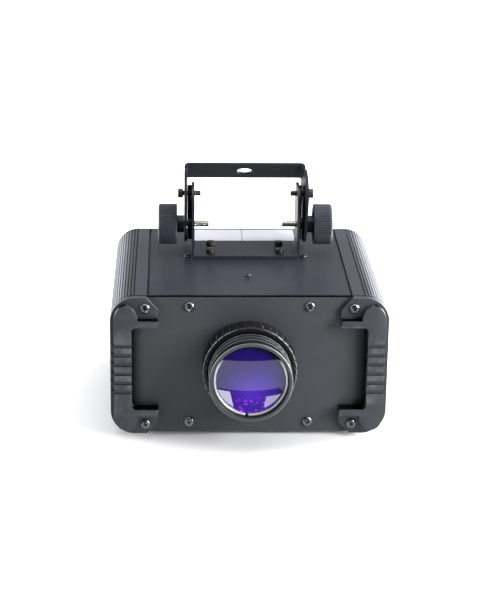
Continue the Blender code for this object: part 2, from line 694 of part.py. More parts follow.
def profile_lip(outer_z, inward):
    """The ledge that carries the cover or the tray, from the seam round the screw port."""
    shelf = outer_z + inward * (SHEET_THICKNESS + GAP)
    under = shelf + inward * LIP_THICKNESS
    inner = outer_z + inward * PROFILE_WALL
    lip_x = SEAM_X - LIP_WIDTH
    near_x = GUARD_SCREW_X - PORT_HALF_WIDTH
    far_x = GUARD_SCREW_X + PORT_HALF_WIDTH
    port_end = outer_z + inward * (SCREW_EDGE_DISTANCE + PORT_HALF_WIDTH)
    return [(SEAM_X, outer_z), (SEAM_X, shelf), (lip_x, shelf), (lip_x, under),
            (near_x, under), (near_x, port_end), (far_x, port_end), (far_x, inner)]


def make_side_profiles():
    loop = ribbed_face()
    loop += profile_lip(0.0, 1)
    loop += profile_inner_face()
    loop += reversed(profile_lip(BODY_HEIGHT, -1))
    loops = [loop] + screw_hole_loops(panel_screw_places(GUARD_SCREW_X)[1::2])
    depth = INNER_REAR - INNER_FRONT
    y = (INNER_FRONT + INNER_REAR) / 2
    for name, side in (("left_side_profile", -1), ("right_side_profile", 1)):
        mesh = plate_mesh([[(side * x, z) for x, z in outline] for outline in loops], depth)
        add_part(name, mesh, "anodised", location=(0.0, y, 0.0))


def mirror_over_middle(points):
    return [(x, BODY_HEIGHT - z) for x, z in reversed(points)]


def guard_pad_outline():
    """The upper half of a guard's low plate, then the same mirrored for the lower half."""
    ledge = BODY_HEIGHT - GUARD_LEDGE_BOTTOM
    fillet = GUARD_INNER_FILLET
    corner = BODY_CORNER_RADIUS
    upper = arc(GUARD_BAR_INNER - fillet, ledge - fillet, fillet, 0.0, 90.0, FILLET_STEPS)
    upper.append((GUARD_PAD_INNER, ledge))
    upper.append((GUARD_PAD_INNER, BODY_HEIGHT - GUARD_PAD_CHAMFER_DROP))
    upper.append((GUARD_PAD_INNER + GUARD_PAD_CHAMFER, BODY_HEIGHT))
    upper += arc(BODY_HALF_WIDTH - corner, BODY_HEIGHT - corner, corner, 90.0, 0.0, CORNER_STEPS)
    return upper + mirror_over_middle(upper)


def guard_face_outline():
    """The raised bar with its arched ends and the two ledges, a small step inside the low plate."""
    ledge_top = BODY_HEIGHT - GUARD_LEDGE_TOP
    ledge_bottom = BODY_HEIGHT - GUARD_LEDGE_BOTTOM + GUARD_STEP
    bar_inner = GUARD_BAR_INNER + GUARD_STEP
    ledge_inner = GUARD_PAD_INNER + GUARD_STEP
    fillet = GUARD_INNER_FILLET
    arch_x = GUARD_BAR_OUTER - GUARD_ARCH_HALF_WIDTH
    upper = arc(bar_inner - fillet, ledge_bottom - fillet, fillet, 0.0, 90.0, FILLET_STEPS)
    upper.append((ledge_inner, ledge_bottom))
    upper.append((ledge_inner, ledge_top))
    upper.append((arch_x - GUARD_ARCH_HALF_WIDTH, ledge_top))
    for step in range(GUARD_ARCH_STEPS + 1):
        angle = math.pi * (1.0 - step / GUARD_ARCH_STEPS)
        rise = GUARD_STEP + GUARD_ARCH_RISE * math.sin(angle)
        upper.append((arch_x + GUARD_ARCH_HALF_WIDTH * math.cos(angle), ledge_top + rise))
    return upper + mirror_over_middle(upper)


def groove_boxes(side):
    boxes = []
    inner = side * (GUARD_BAR_INNER - GUARD_INNER_FILLET)
    outer = side * (BODY_HALF_WIDTH + CUT_MARGIN)
    for i in range(GROOVE_COUNT):
        z = MIDDLE_HEIGHT + (i - (GROOVE_COUNT - 1) / 2) * GROOVE_PITCH
        low = (min(inner, outer), -GUARD_FACE_PROUD - CUT_MARGIN, z - GROOVE_WIDTH / 2)
        high = (max(inner, outer), -GUARD_FACE_PROUD + GROOVE_DEPTH, z + GROOVE_WIDTH / 2)
        boxes.append((low, high))
    return boxes


def make_guards():
    pad_thickness = GUARD_PAD_PROUD - GAP
    face_thickness = GUARD_FACE_PROUD - GUARD_PAD_PROUD / 2
    holes = screw_hole_loops(panel_screw_places(GUARD_SCREW_X)[1::2])
    for name, side in (("left_guard", -1), ("right_guard", 1)):
        pad_loops = [[(side * x, z) for x, z in loop] for loop in [guard_pad_outline()] + holes]
        pad = plate_mesh(pad_loops, pad_thickness)
        guard = add_part(name, pad, "guard_plastic", location=(0.0, -GAP - pad_thickness / 2, 0.0))
        face = plate_mesh([[(side * x, z) for x, z in guard_face_outline()]], face_thickness)
        face_y = -GUARD_FACE_PROUD + face_thickness / 2
        combine(guard, add_cutter(name + "_face", face, location=(0.0, face_y, 0.0)), "UNION")
        grooves = add_cutter(name + "_grooves", boxes_mesh(groove_boxes(side)))
        combine(guard, grooves, "DIFFERENCE")


def make_feet():
    top = FOOT_HEIGHT - GAP
    profile = [(0.0, top), (FOOT_RADIUS, top), (FOOT_RADIUS, FOOT_EDGE), (FOOT_BASE_RADIUS, 0.0), (0.0, 0.0)]
    ends = (("front", FOOT_EDGE_DISTANCE), ("rear", BODY_DEPTH - FOOT_EDGE_DISTANCE))
    for end, y in ends:
        for side_name, side in (("left", -1), ("right", 1)):
            name = end + "_" + side_name + "_foot"
            place = (side * (BODY_HALF_WIDTH - FOOT_SIDE_DISTANCE), y, -FOOT_HEIGHT)
            turn(add_part(name, turned_mesh(profile, False), "rubber", location=place), MEDIUM)


def screw_profile(shank, head_radius, head_height, length):
    """A pan head with its seat at height zero and the shank below it."""
    crown = (head_radius * HEAD_CROWN_SHARE, head_height)
    rim = (head_radius, head_height * HEAD_RIM_SHARE)
    return [(0.0, head_height), crown, rim, (head_radius, 0.0),
            (shank, 0.0), (shank, -length), (0.0, -length)]


def add_screw(name, finish, seat, rotation, sizes, segments=COARSE, parent=None):
    screw = add_part(name, turned_mesh(screw_profile(*sizes), False), finish, location=seat,
                     rotation=rotation, parent=parent)
    return turn(screw, segments)


def make_front_screws():
    sizes = (SCREW_SHANK_RADIUS, SCREW_HEAD_RADIUS, SCREW_HEAD_HEIGHT, SCREW_LENGTH)
    guard_sizes = sizes[:3] + (SCREW_LENGTH + GUARD_PAD_PROUD,)
    corners = ("lower_left", "lower_right", "upper_left", "upper_right")
    for corner, (x, z) in zip(corners, panel_screw_places(PANEL_SCREW_X)):
        add_screw("panel_screw_" + corner, "black_screw", (x, -GAP, z), FORWARD, sizes)
    for corner, (x, z) in zip(corners, panel_screw_places(GUARD_SCREW_X)):
        seat = (x, -GUARD_PAD_PROUD - GAP, z)
        add_screw("guard_screw_" + corner, "black_screw", seat, FORWARD, guard_sizes)


def make_cover_screw():
    sizes = (SCREW_SHANK_RADIUS, COVER_SCREW_HEAD_RADIUS, COVER_SCREW_HEAD_HEIGHT, SCREW_LENGTH)
    add_screw("cover_screw", "black_screw", (0.0, COVER_SCREW_Y, BODY_HEIGHT + GAP), UPWARD, sizes)


def make_lens_mount():
    """A flanged tube behind the front panel, which the barrel slides in."""
    bore = BARREL_RADIUS + RUNNING_CLEARANCE
    tube = bore + LENS_MOUNT_TUBE_WALL
    flange = tube + LENS_MOUNT_FLANGE_WIDTH
    flange_front = -PANEL_THICKNESS - GAP
    flange_back = flange_front - LENS_MOUNT_FLANGE
    back = -LENS_MOUNT_LENGTH
    profile = [(bore, -GAP), (tube, -GAP), (tube, flange_front), (flange, flange_front),
               (flange, flange_back), (tube, flange_back), (tube, back), (bore, back)]
    mount = add_part("lens_mount", turned_mesh(profile, True), "black_plastic",
                     location=(0.0, 0.0, LENS_AXIS_HEIGHT), rotation=FORWARD)
    turn(mount, FINE)


def toothed_loop(radius, depth, count, crest_end, valley_start, valley_end):
    """A round outline with notches, whose places along one pitch are given as shares of it."""
    points = []
    pitch = 360.0 / count
    steps = [(0.0, radius), (crest_end, radius), (valley_start, radius - depth)]
    if valley_end > valley_start:
        steps.append((valley_end, radius - depth))
    for tooth in range(count):
        for share, reach in steps:
            angle = math.radians((tooth + share) * pitch)
            points.append((reach * math.cos(angle), reach * math.sin(angle)))
    return points


def make_focus_ring():
    bore = BARREL_RADIUS + RUNNING_CLEARANCE
    length = FOCUS_RING_REACH - 2 * GAP
    teeth = toothed_loop(FOCUS_RING_RADIUS, FOCUS_TOOTH_DEPTH, FOCUS_TOOTH_COUNT, *FOCUS_TOOTH_SHARES)
    loops = [teeth, circle(0.0, 0.0, bore, FINE)]
    y = -2 * GAP - length / 2
    add_part("focus_ring", plate_mesh(loops, length), "black_plastic",
             location=(0.0, y, LENS_AXIS_HEIGHT))


def lens_drop(radius, thickness, edge, reach):
    """How far a lens's spherical face falls from its middle to the given reach."""
    bulge = (thickness - edge) / 2
    sphere = (radius * radius + bulge * bulge) / (2 * bulge)
    return sphere - math.sqrt(sphere * sphere - reach * reach)


def lens_profile(radius, thickness, edge, centre, steps):
    """Both faces of a convex lens are arcs of a circle, with a straight edge between them."""
    front = []
    for step in range(steps + 1):
        reach = radius * step / steps
        front.append((reach, thickness / 2 - lens_drop(radius, thickness, edge, reach)))
    back = [(reach, -height) for reach, height in reversed(front)]
    return [(reach, centre + height) for reach, height in front + back]


def front_lens_rise(reach):
    """The front lens's face above its own middle, at a distance from the axis."""
    return LENS_THICKNESS / 2 - lens_drop(BARREL_BORE - GAP, LENS_THICKNESS, LENS_EDGE, reach)


def front_lens_centre():
    """Keeps the lens's curved face a gap behind the inner edge of the retaining ring."""
    ring_back = BARREL_REACH - LENS_RECESS - RETAINING_THICKNESS
    return ring_back - GAP - front_lens_rise(BARREL_BORE - GAP - RETAINING_WIDTH)


def make_lens_barrel():
    rim = BARREL_REACH
    seat = front_lens_centre() - GAP
    profile = [(BARREL_BORE, rim), (BARREL_RADIUS - BARREL_RIDGE_HEIGHT, rim)]
    height = rim
    while height - BARREL_RIDGE_PITCH > FOCUS_RING_REACH:
        profile.append((BARREL_RADIUS, height - BARREL_RIDGE_HEIGHT))
        height -= BARREL_RIDGE_PITCH
        profile.append((BARREL_RADIUS, height + 2 * BARREL_RIDGE_HEIGHT))
        profile.append((BARREL_RADIUS - BARREL_RIDGE_HEIGHT, height + BARREL_RIDGE_HEIGHT))
    profile.append((BARREL_RADIUS - BARREL_RIDGE_HEIGHT, -BARREL_TAIL))
    profile.append((BARREL_SHOULDER_BORE, -BARREL_TAIL))
    profile.append((BARREL_SHOULDER_BORE, seat - front_lens_rise(BARREL_SHOULDER_BORE)))
    profile.append((BARREL_BORE, seat - front_lens_rise(BARREL_BORE - GAP)))
    barrel = add_part("lens_barrel", turned_mesh(profile, True), "black_anodised",
                      location=(0.0, 0.0, LENS_AXIS_HEIGHT), rotation=FORWARD)
    turn(barrel, FINE)


def make_front_lens():
    radius = BARREL_BORE - GAP
    profile = lens_profile(radius, LENS_THICKNESS, LENS_EDGE, front_lens_centre(), 4)
    lens = add_part("front_lens", turned_mesh(profile, False), "violet_glass",
                    location=(0.0, 0.0, LENS_AXIS_HEIGHT), rotation=FORWARD)
    turn(lens, FINE)


def make_retaining_ring():
    outer = BARREL_BORE - GAP
    inner = outer - RETAINING_WIDTH
    start = RETAINING_SPLIT_PLACE + RETAINING_SPLIT / 2
    end = RETAINING_SPLIT_PLACE + 360.0 - RETAINING_SPLIT / 2
    loop = arc(0.0, 0.0, outer, start, end, FINE) + arc(0.0, 0.0, inner, end, start, FINE)
    y = -BARREL_REACH + LENS_RECESS + RETAINING_THICKNESS / 2
    add_part("lens_retaining_ring", plate_mesh([loop], RETAINING_THICKNESS), "black_screw",
             location=(0.0, y, LENS_AXIS_HEIGHT))


def channel_outline(half_width, top, bottom, thickness, bend, opening):
    """The front view of a strip bent to a U: opening is 1 for a U that opens downward."""
    inner_bend = max(bend - thickness, SHARPEST_INNER_BEND)
    outer = arc(half_width - bend, top - bend, bend, 0.0, 90.0, FILLET_STEPS)
    outer += arc(-half_width + bend, top - bend, bend, 90.0, 180.0, FILLET_STEPS)
    inner_x = half_width - thickness
    inner_top = top - thickness
    inner = arc(-inner_x + inner_bend, inner_top - inner_bend, inner_bend, 180.0, 90.0, FILLET_STEPS)
    inner += arc(inner_x - inner_bend, inner_top - inner_bend, inner_bend, 90.0, 0.0, FILLET_STEPS)
    loop = [(half_width, bottom)] + outer + [(-half_width, bottom), (-inner_x, bottom)] + inner
    loop.append((inner_x, bottom))
    return [(x, opening * z) for x, z in loop]


def yoke_side_outline():
    """The side view of the yoke, with its pivot at the origin and its crossbar at the top."""
    fan_degrees = math.degrees(YOKE_FAN_ANGLE)
    corner_reach = YOKE_FAN_RADIUS - YOKE_FAN_CORNER
    corner_y = corner_reach * math.sin(YOKE_FAN_ANGLE)
    corner_z = corner_reach * math.cos(YOKE_FAN_ANGLE)
    lean = math.degrees(math.acos((YOKE_END_RADIUS - YOKE_FAN_CORNER) / corner_reach))
    tangent = 90.0 - fan_degrees - lean
    strip = YOKE_STRIP_WIDTH / 2
    strip_degrees = math.degrees(math.acos(strip / YOKE_FAN_RADIUS))
    right = [(strip, YOKE_ARM_LENGTH)]
    right += arc(0.0, 0.0, YOKE_FAN_RADIUS, strip_degrees, 90.0 - fan_degrees, 10)
    right += arc(corner_y, corner_z, YOKE_FAN_CORNER, 90.0 - fan_degrees, tangent, 8)[1:]
    right += arc(0.0, 0.0, YOKE_END_RADIUS, tangent, -90.0, 5)
    left = [(-y, z) for y, z in reversed(right[:-1])]
    return right + left


def slot_loop():
    """The curved slot for a limit bolt, the same all along its arc."""
    width = LIMIT_BOLT_RADIUS + RUNNING_CLEARANCE
    half = math.degrees(SLOT_HALF_ANGLE)
    middle = LIMIT_BOLT_DISTANCE
    start = 90.0 - half
    end = 90.0 + half
    loop = arc(0.0, 0.0, middle + width, start, end, 14)
    end_y = middle * math.cos(math.radians(end))
    end_z = middle * math.sin(math.radians(end))
    loop += arc(end_y, end_z, width, end, end + 180.0, 6)[1:-1]
    loop += arc(0.0, 0.0, middle - width, end, start, 14)
    loop += arc(-end_y, end_z, width, start + 180.0, start + 360.0, 6)[1:-1]
    return loop


def make_yoke():
    pivot = bpy.data.objects.new("yoke_pivot", None)
    pivot.location = (0.0, PIVOT_Y, PIVOT_Z)
    pivot.rotation_euler = (YOKE_TILT, 0.0, 0.0)
    pivot.parent = FRAME
    PARTS.objects.link(pivot)
    bottom = -YOKE_END_RADIUS - CUT_MARGIN
    channel = channel_outline(YOKE_HALF_WIDTH, YOKE_ARM_LENGTH, bottom, YOKE_THICKNESS, YOKE_BEND_RADIUS, 1)
    blank = plate_mesh([channel], 2 * (YOKE_FAN_RADIUS + CUT_MARGIN))
    yoke = add_part("yoke", blank, "yoke_coat", parent=pivot)
    stud_hole = circle(0.0, 0.0, STUD_RADIUS + SCREW_CLEARANCE, MEDIUM)
    side_loops = [yoke_side_outline(), slot_loop(), stud_hole]
    side = plate_mesh(side_loops, 2 * (YOKE_HALF_WIDTH + CUT_MARGIN), "YZ")
    combine(yoke, add_cutter("yoke_side", side, parent=pivot), "INTERSECT")
    centre = [(0.0, 0.0, YOKE_ARM_LENGTH - YOKE_THICKNESS / 2)]
    hole = rods_mesh(centre, YOKE_HOLE_RADIUS, YOKE_THICKNESS + 2 * CUT_MARGIN, "Z", MEDIUM)
    combine(yoke, add_cutter("yoke_hole", hole, parent=pivot), "DIFFERENCE")


def saddle_side_outline():
    """The side view of the saddle's ears, from the body's own origin."""
    front = PIVOT_Y - SADDLE_DEPTH / 2
    rear = PIVOT_Y + SADDLE_DEPTH / 2
    top = PIVOT_Z + SADDLE_EAR_RISE
    radius = SADDLE_EAR_RADIUS
    loop = arc(rear - radius, top - radius, radius, 0.0, 90.0, CORNER_STEPS)
    loop += arc(front + radius, top - radius, radius, 90.0, 180.0, CORNER_STEPS)
    loop += [(front, BODY_HEIGHT), (rear, BODY_HEIGHT)]
    return loop


def make_mount_saddle():
    bottom = BODY_HEIGHT + GAP
    top = PIVOT_Z + SADDLE_EAR_RISE
    channel = channel_outline(SADDLE_HALF_WIDTH, -bottom, -top - CUT_MARGIN, SADDLE_THICKNESS,
                              SADDLE_BEND_RADIUS, -1)
    saddle = add_part("mount_saddle", plate_mesh([channel], SADDLE_DEPTH + 2 * CUT_MARGIN), "powder_coat",
                      location=(0.0, PIVOT_Y, 0.0))
    loops = [saddle_side_outline()]
    loops.append(circle(PIVOT_Y, PIVOT_Z, STUD_RADIUS + SCREW_CLEARANCE, MEDIUM))
    loops.append(circle(PIVOT_Y, PIVOT_Z + LIMIT_BOLT_DISTANCE, LIMIT_BOLT_RADIUS + SCREW_CLEARANCE))
    side = plate_mesh(loops, 2 * (SADDLE_HALF_WIDTH + CUT_MARGIN), "YZ")
    combine(saddle, add_cutter("saddle_side", side), "INTERSECT")
    rear = PIVOT_Y + SADDLE_DEPTH / 2
    inner = SADDLE_HALF_WIDTH - SADDLE_THICKNESS / 2
    outer = SADDLE_HALF_WIDTH + SADDLE_RETURN_WIDTH
    low = BODY_HEIGHT + SADDLE_RETURN_BOTTOM
    high = PIVOT_Z + SADDLE_EAR_RISE - SADDLE_RETURN_DROP
    boxes = []
    for low_x, high_x in ((-outer, -inner), (inner, outer)):
        boxes.append(((low_x, rear - SADDLE_THICKNESS, low), (high_x, rear, high)))
    combine(saddle, add_cutter("saddle_returns", boxes_mesh(boxes)), "UNION")
    centres = [(x, y, bottom + SADDLE_THICKNESS / 2) for x, y in saddle_bolt_places()]
    radius = SADDLE_BOLT_RADIUS + SCREW_CLEARANCE
    holes = rods_mesh(centres, radius, SADDLE_THICKNESS + 2 * CUT_MARGIN, "Z")
    combine(saddle, add_cutter("saddle_bolt_holes", holes), "DIFFERENCE")


def make_saddle_bolts():
    sizes = (SADDLE_BOLT_RADIUS, SADDLE_BOLT_HEAD_RADIUS, SADDLE_BOLT_HEAD_HEIGHT, SADDLE_BOLT_LENGTH)
    seat = BODY_HEIGHT + SADDLE_THICKNESS + 2 * GAP
    corners = ("front_left", "front_right", "rear_left", "rear_right")
    for corner, (x, y) in zip(corners, saddle_bolt_places()):
        add_screw("saddle_bolt_" + corner, "black_screw", (x, y, seat), UPWARD, sizes)


def make_limit_bolts():
    seat_x = YOKE_HALF_WIDTH + LIMIT_HEAD_GAP
    length = seat_x - SADDLE_HALF_WIDTH + LIMIT_BOLT_REACH
    sizes = (LIMIT_BOLT_RADIUS, LIMIT_HEAD_RADIUS, LIMIT_HEAD_HEIGHT, length)
    for name, side, turned in (("left_limit_bolt", -1, LEFTWARD), ("right_limit_bolt", 1, RIGHTWARD)):
        seat = (side * seat_x, PIVOT_Y, PIVOT_Z + LIMIT_BOLT_DISTANCE)
        add_screw(name, "black_screw", seat, turned, sizes)


def make_spacers():
    inner = STUD_RADIUS + SCREW_CLEARANCE
    length = YOKE_HALF_WIDTH - YOKE_THICKNESS - SADDLE_HALF_WIDTH - 2 * GAP
    profile = [(inner, length), (SPACER_RADIUS, length), (SPACER_RADIUS, 0.0), (inner, 0.0)]
    for name, side, turned in (("left_pivot_spacer", -1, LEFTWARD), ("right_pivot_spacer", 1, RIGHTWARD)):
        place = (side * (SADDLE_HALF_WIDTH + GAP), PIVOT_Y, PIVOT_Z)
        spacer = add_part(name, turned_mesh(profile, True), "black_plastic", location=place, rotation=turned)
        turn(spacer, MEDIUM)


def knob_blank_profile():
    """A knob's half section with its hub down and its rounded rim up, from the pivot's middle."""
    hub_face = YOKE_HALF_WIDTH + GAP
    socket = STUD_RADIUS + GAP
    socket_end = KNOB_INNER_X + STUD_SOCKET_DEPTH + GAP
    floor = KNOB_INNER_X + KNOB_HOLLOW_DEPTH
    rim = KNOB_RADIUS - KNOB_EDGE_RADIUS
    edge = arc(rim, KNOB_OUTER_X - KNOB_EDGE_RADIUS, KNOB_EDGE_RADIUS, 90.0, 0.0, 2)
    profile = [(0.0, KNOB_OUTER_X)] + edge
    profile += [(KNOB_RADIUS, KNOB_INNER_X), (KNOB_HOLLOW_RADIUS, KNOB_INNER_X), (KNOB_HOLLOW_RADIUS, floor)]
    profile += [(KNOB_HUB_RADIUS, floor), (KNOB_HUB_RADIUS, hub_face), (socket, hub_face)]
    profile += [(socket, socket_end), (0.0, socket_end)]
    return profile


def make_knobs():
    length = KNOB_OUTER_X - YOKE_HALF_WIDTH
    middle = (KNOB_OUTER_X + YOKE_HALF_WIDTH) / 2
    ridges = toothed_loop(KNOB_RADIUS, KNOB_RIDGE_DEPTH, KNOB_RIDGE_COUNT, *KNOB_RIDGE_SHARES)
    for name, turned in (("left_knob", LEFTWARD), ("right_knob", RIGHTWARD)):
        knob = add_part(name, turned_mesh(knob_blank_profile(), False), "knob_plastic",
                        location=(0.0, PIVOT_Y, PIVOT_Z), rotation=turned)
        turn(knob, KNOB_RIDGE_COUNT)
        bar = plate_mesh([ridges], length + 2 * CUT_MARGIN, "XY")
        bar.transform(Matrix.Translation((0.0, 0.0, middle)))
        shape = add_cutter(name + "_ridges", bar, location=(0.0, PIVOT_Y, PIVOT_Z), rotation=turned)
        combine(knob, shape, "INTERSECT")


def make_studs():
    outer = KNOB_INNER_X + STUD_SOCKET_DEPTH
    profile = [(0.0, outer), (STUD_RADIUS, outer), (STUD_RADIUS, STUD_INNER_X + STUD_CHAMFER),
               (STUD_RADIUS - STUD_CHAMFER, STUD_INNER_X), (0.0, STUD_INNER_X)]
    for name, turned in (("left_knob_stud", LEFTWARD), ("right_knob_stud", RIGHTWARD)):
        stud = add_part(name, turned_mesh(profile, False), "bright_steel",
                        location=(0.0, PIVOT_Y, PIVOT_Z), rotation=turned)
        turn(stud, MEDIUM)


def make_optics_bracket():
    """An upright plate on a foot, with a tube that holds the condenser lens behind it."""
    shaft_hole = MOTOR_SHAFT_RADIUS + RUNNING_CLEARANCE
    bore = CONDENSER_RADIUS + GAP
    upright_loops = [rectangle(-BRACKET_HALF_WIDTH, BRACKET_BOTTOM, BRACKET_HALF_WIDTH, BRACKET_TOP),
                     circle(0.0, LENS_AXIS_HEIGHT, bore, MEDIUM)]
    for side in (-1, 1):
        upright_loops.append(circle(side * WHEEL_AXLE_X, LENS_AXIS_HEIGHT, shaft_hole))
    bracket = add_part("optics_bracket", plate_mesh(upright_loops, BRACKET_THICKNESS), "zinc_steel",
                       location=(0.0, BRACKET_Y + BRACKET_THICKNESS / 2, 0.0))
    low = (-BRACKET_HALF_WIDTH, BRACKET_Y, BRACKET_BOTTOM)
    high = (BRACKET_HALF_WIDTH, BRACKET_Y + BRACKET_FOOT_LENGTH, BRACKET_BOTTOM + BRACKET_THICKNESS)
    combine(bracket, add_cutter("bracket_foot", box_mesh(low, high)), "UNION")
    step_y = LED_Y + LED_MODULE_THICKNESS + GAP + HEAT_SINK_BASE
    step_top = LENS_AXIS_HEIGHT - HEAT_SINK_HEIGHT / 2 - GAP
    low = (-HEAT_SINK_STEP_WIDTH / 2, step_y, BRACKET_BOTTOM + BRACKET_THICKNESS / 2)
    high = (HEAT_SINK_STEP_WIDTH / 2, step_y + HEAT_SINK_STEP_LENGTH, step_top)
    combine(bracket, add_cutter("heat_sink_step", box_mesh(low, high)), "UNION")
    tube = [circle(0.0, LENS_AXIS_HEIGHT, bore + CONDENSER_TUBE_WALL, MEDIUM),
            circle(0.0, LENS_AXIS_HEIGHT, bore, MEDIUM)]
    tube_y = BRACKET_Y + CONDENSER_TUBE_LENGTH / 2
    holder = plate_mesh(tube, CONDENSER_TUBE_LENGTH)
    combine(bracket, add_cutter("condenser_tube", holder, location=(0.0, tube_y, 0.0)), "UNION")


def make_condenser():
    y = BRACKET_Y + CONDENSER_TUBE_LENGTH - CONDENSER_THICKNESS / 2
    profile = lens_profile(CONDENSER_RADIUS, CONDENSER_THICKNESS, CONDENSER_EDGE, 0.0, 3)
    lens = add_part("condenser_lens", turned_mesh(profile, False), "clear_glass",
                    location=(0.0, y, LENS_AXIS_HEIGHT), rotation=FORWARD)
    turn(lens, MEDIUM)


def make_wheel(name, finish, x, y, apertures):
    loops = [circle(0.0, 0.0, WHEEL_RADIUS, FINE)]
    for i in range(apertures):
        angle = 2 * math.pi * i / apertures
        aperture_x = WHEEL_AXLE_X * math.cos(angle)
        aperture_z = WHEEL_AXLE_X * math.sin(angle)
        loops.append(circle(aperture_x, aperture_z, COLOUR_APERTURE_RADIUS, MEDIUM))
    place = (x, y, LENS_AXIS_HEIGHT)
    wheel = add_part(name, plate_mesh(loops, WHEEL_THICKNESS), finish, location=place)
    hub = rods_mesh([(0.0, WHEEL_HUB_LENGTH / 2, 0.0)], WHEEL_HUB_RADIUS, WHEEL_HUB_LENGTH, "Y", MEDIUM)
    combine(wheel, add_cutter(name + "_hub", hub, location=place), "UNION")
    bore = rods_mesh([(0.0, 0.0, 0.0)], WHEEL_BORE, 2 * (WHEEL_HUB_LENGTH + CUT_MARGIN), "Y")
    combine(wheel, add_cutter(name + "_bore", bore, location=place), "DIFFERENCE")


def make_motor(name, x, wheel_y):
    """The motor's can stands behind the upright and its shaft reaches the wheel's hub."""
    can_front = BRACKET_Y + BRACKET_THICKNESS + GAP
    shaft = can_front - wheel_y
    profile = [(0.0, shaft), (MOTOR_SHAFT_RADIUS, shaft), (MOTOR_SHAFT_RADIUS, 0.0), (MOTOR_RADIUS, 0.0),
               (MOTOR_RADIUS, -MOTOR_LENGTH), (0.0, -MOTOR_LENGTH)]
    motor = add_part(name, turned_mesh(profile, False), "zinc_steel",
                     location=(x, can_front, LENS_AXIS_HEIGHT), rotation=FORWARD)
    turn(motor, MEDIUM)


def make_wheels_and_motors():
    make_wheel("colour_wheel", "aluminium", WHEEL_AXLE_X, COLOUR_WHEEL_Y, COLOUR_APERTURE_COUNT)
    make_motor("colour_wheel_motor", WHEEL_AXLE_X, COLOUR_WHEEL_Y)
    make_wheel("ripple_wheel", "clear_glass", -WHEEL_AXLE_X, RIPPLE_WHEEL_Y, 0)
    make_motor("ripple_wheel_motor", -WHEEL_AXLE_X, RIPPLE_WHEEL_Y)


def make_led_module():
    half = LED_MODULE_SIZE / 2
    outline = rectangle(-half, LENS_AXIS_HEIGHT - half, half, LENS_AXIS_HEIGHT + half)
    y = LED_Y + LED_MODULE_THICKNESS / 2
    module = add_part("led_module", plate_mesh([outline], LED_MODULE_THICKNESS), "circuit_board",
                      location=(0.0, y, 0.0))
    buried = -LED_MODULE_THICKNESS / 2
    dome_profile = arc(0.0, 0.0, LED_DOME_RADIUS, 90.0, 0.0, FILLET_STEPS)
    dome_profile += [(LED_DOME_RADIUS, buried), (0.0, buried)]
    dome = add_cutter("led_dome", turned_mesh(dome_profile, False), location=(0.0, LED_Y, LENS_AXIS_HEIGHT),
                      rotation=FORWARD)
    turn(dome, MEDIUM)
    combine(module, dome, "UNION")


def make_heat_sink():
    """The comb of fins as one outline, seen from above."""
    front = LED_Y + LED_MODULE_THICKNESS + GAP
    root = front + HEAT_SINK_BASE
    rear = front + HEAT_SINK_DEPTH
    half = HEAT_SINK_WIDTH / 2
    pitch = (HEAT_SINK_WIDTH - HEAT_SINK_FIN_THICKNESS) / (HEAT_SINK_FIN_COUNT - 1)
    loop = [(half, front), (-half, front)]
    for fin in range(HEAT_SINK_FIN_COUNT):
        left = -half + fin * pitch
        right = left + HEAT_SINK_FIN_THICKNESS
        if fin > 0:
            loop.append((left, root))
        loop += [(left, rear), (right, rear)]
        if fin < HEAT_SINK_FIN_COUNT - 1:
            loop.append((right, root))
    add_part("led_heat_sink", plate_mesh([loop], HEAT_SINK_HEIGHT, "XY"), "aluminium",
             location=(0.0, 0.0, LENS_AXIS_HEIGHT))


def make_fan():
    half = FAN_SIZE / 2
    loops = [rounded_rectangle(-half, -half, half, half, FAN_CORNER_RADIUS, FILLET_STEPS)]
    loops.append(circle(0.0, 0.0, FAN_BORE_RADIUS, FINE))
    place = (0.0, FAN_REAR - FAN_THICKNESS / 2, LENS_AXIS_HEIGHT)
    add_part("fan_frame", plate_mesh(loops, FAN_THICKNESS), "black_plastic", location=place)
    length = FAN_THICKNESS - 4 * RUNNING_CLEARANCE
    hub = rods_mesh([(0.0, 0.0, 0.0)], FAN_HUB_RADIUS, length, "Y", MEDIUM)
    rotor = add_part("fan_rotor", hub, "black_plastic", location=place)
    reach = FAN_BORE_RADIUS - 2 * RUNNING_CLEARANCE
    bm = bmesh.new()
    middle = (FAN_BLADE_ROOT + reach) / 2
    size = (reach - FAN_BLADE_ROOT, length, FAN_BLADE_THICKNESS)
    for blade in range(FAN_BLADE_COUNT):
        around = Matrix.Rotation(2 * math.pi * blade / FAN_BLADE_COUNT, 4, "Y")
        pitched = Matrix.Rotation(FAN_BLADE_PITCH, 4, "X")
        matrix = around @ Matrix.Translation((middle, 0.0, 0.0)) @ pitched @ Matrix.Diagonal((*size, 1.0))
        bmesh.ops.create_cube(bm, size=1.0, matrix=matrix)
    blades = add_cutter("fan_blades", mesh_from_bmesh(bm), location=place)
    combine(rotor, blades, "UNION")


def make_power_supply():
    half_x, half_y, half_z = (length / 2 for length in POWER_SUPPLY_SIZE)
    centre = (-POWER_SUPPLY_X, POWER_SUPPLY_Y, MIDDLE_HEIGHT)
    add_part("power_supply", box_mesh((-half_x, -half_y, -half_z), (half_x, half_y, half_z)), "potting",
             location=centre)


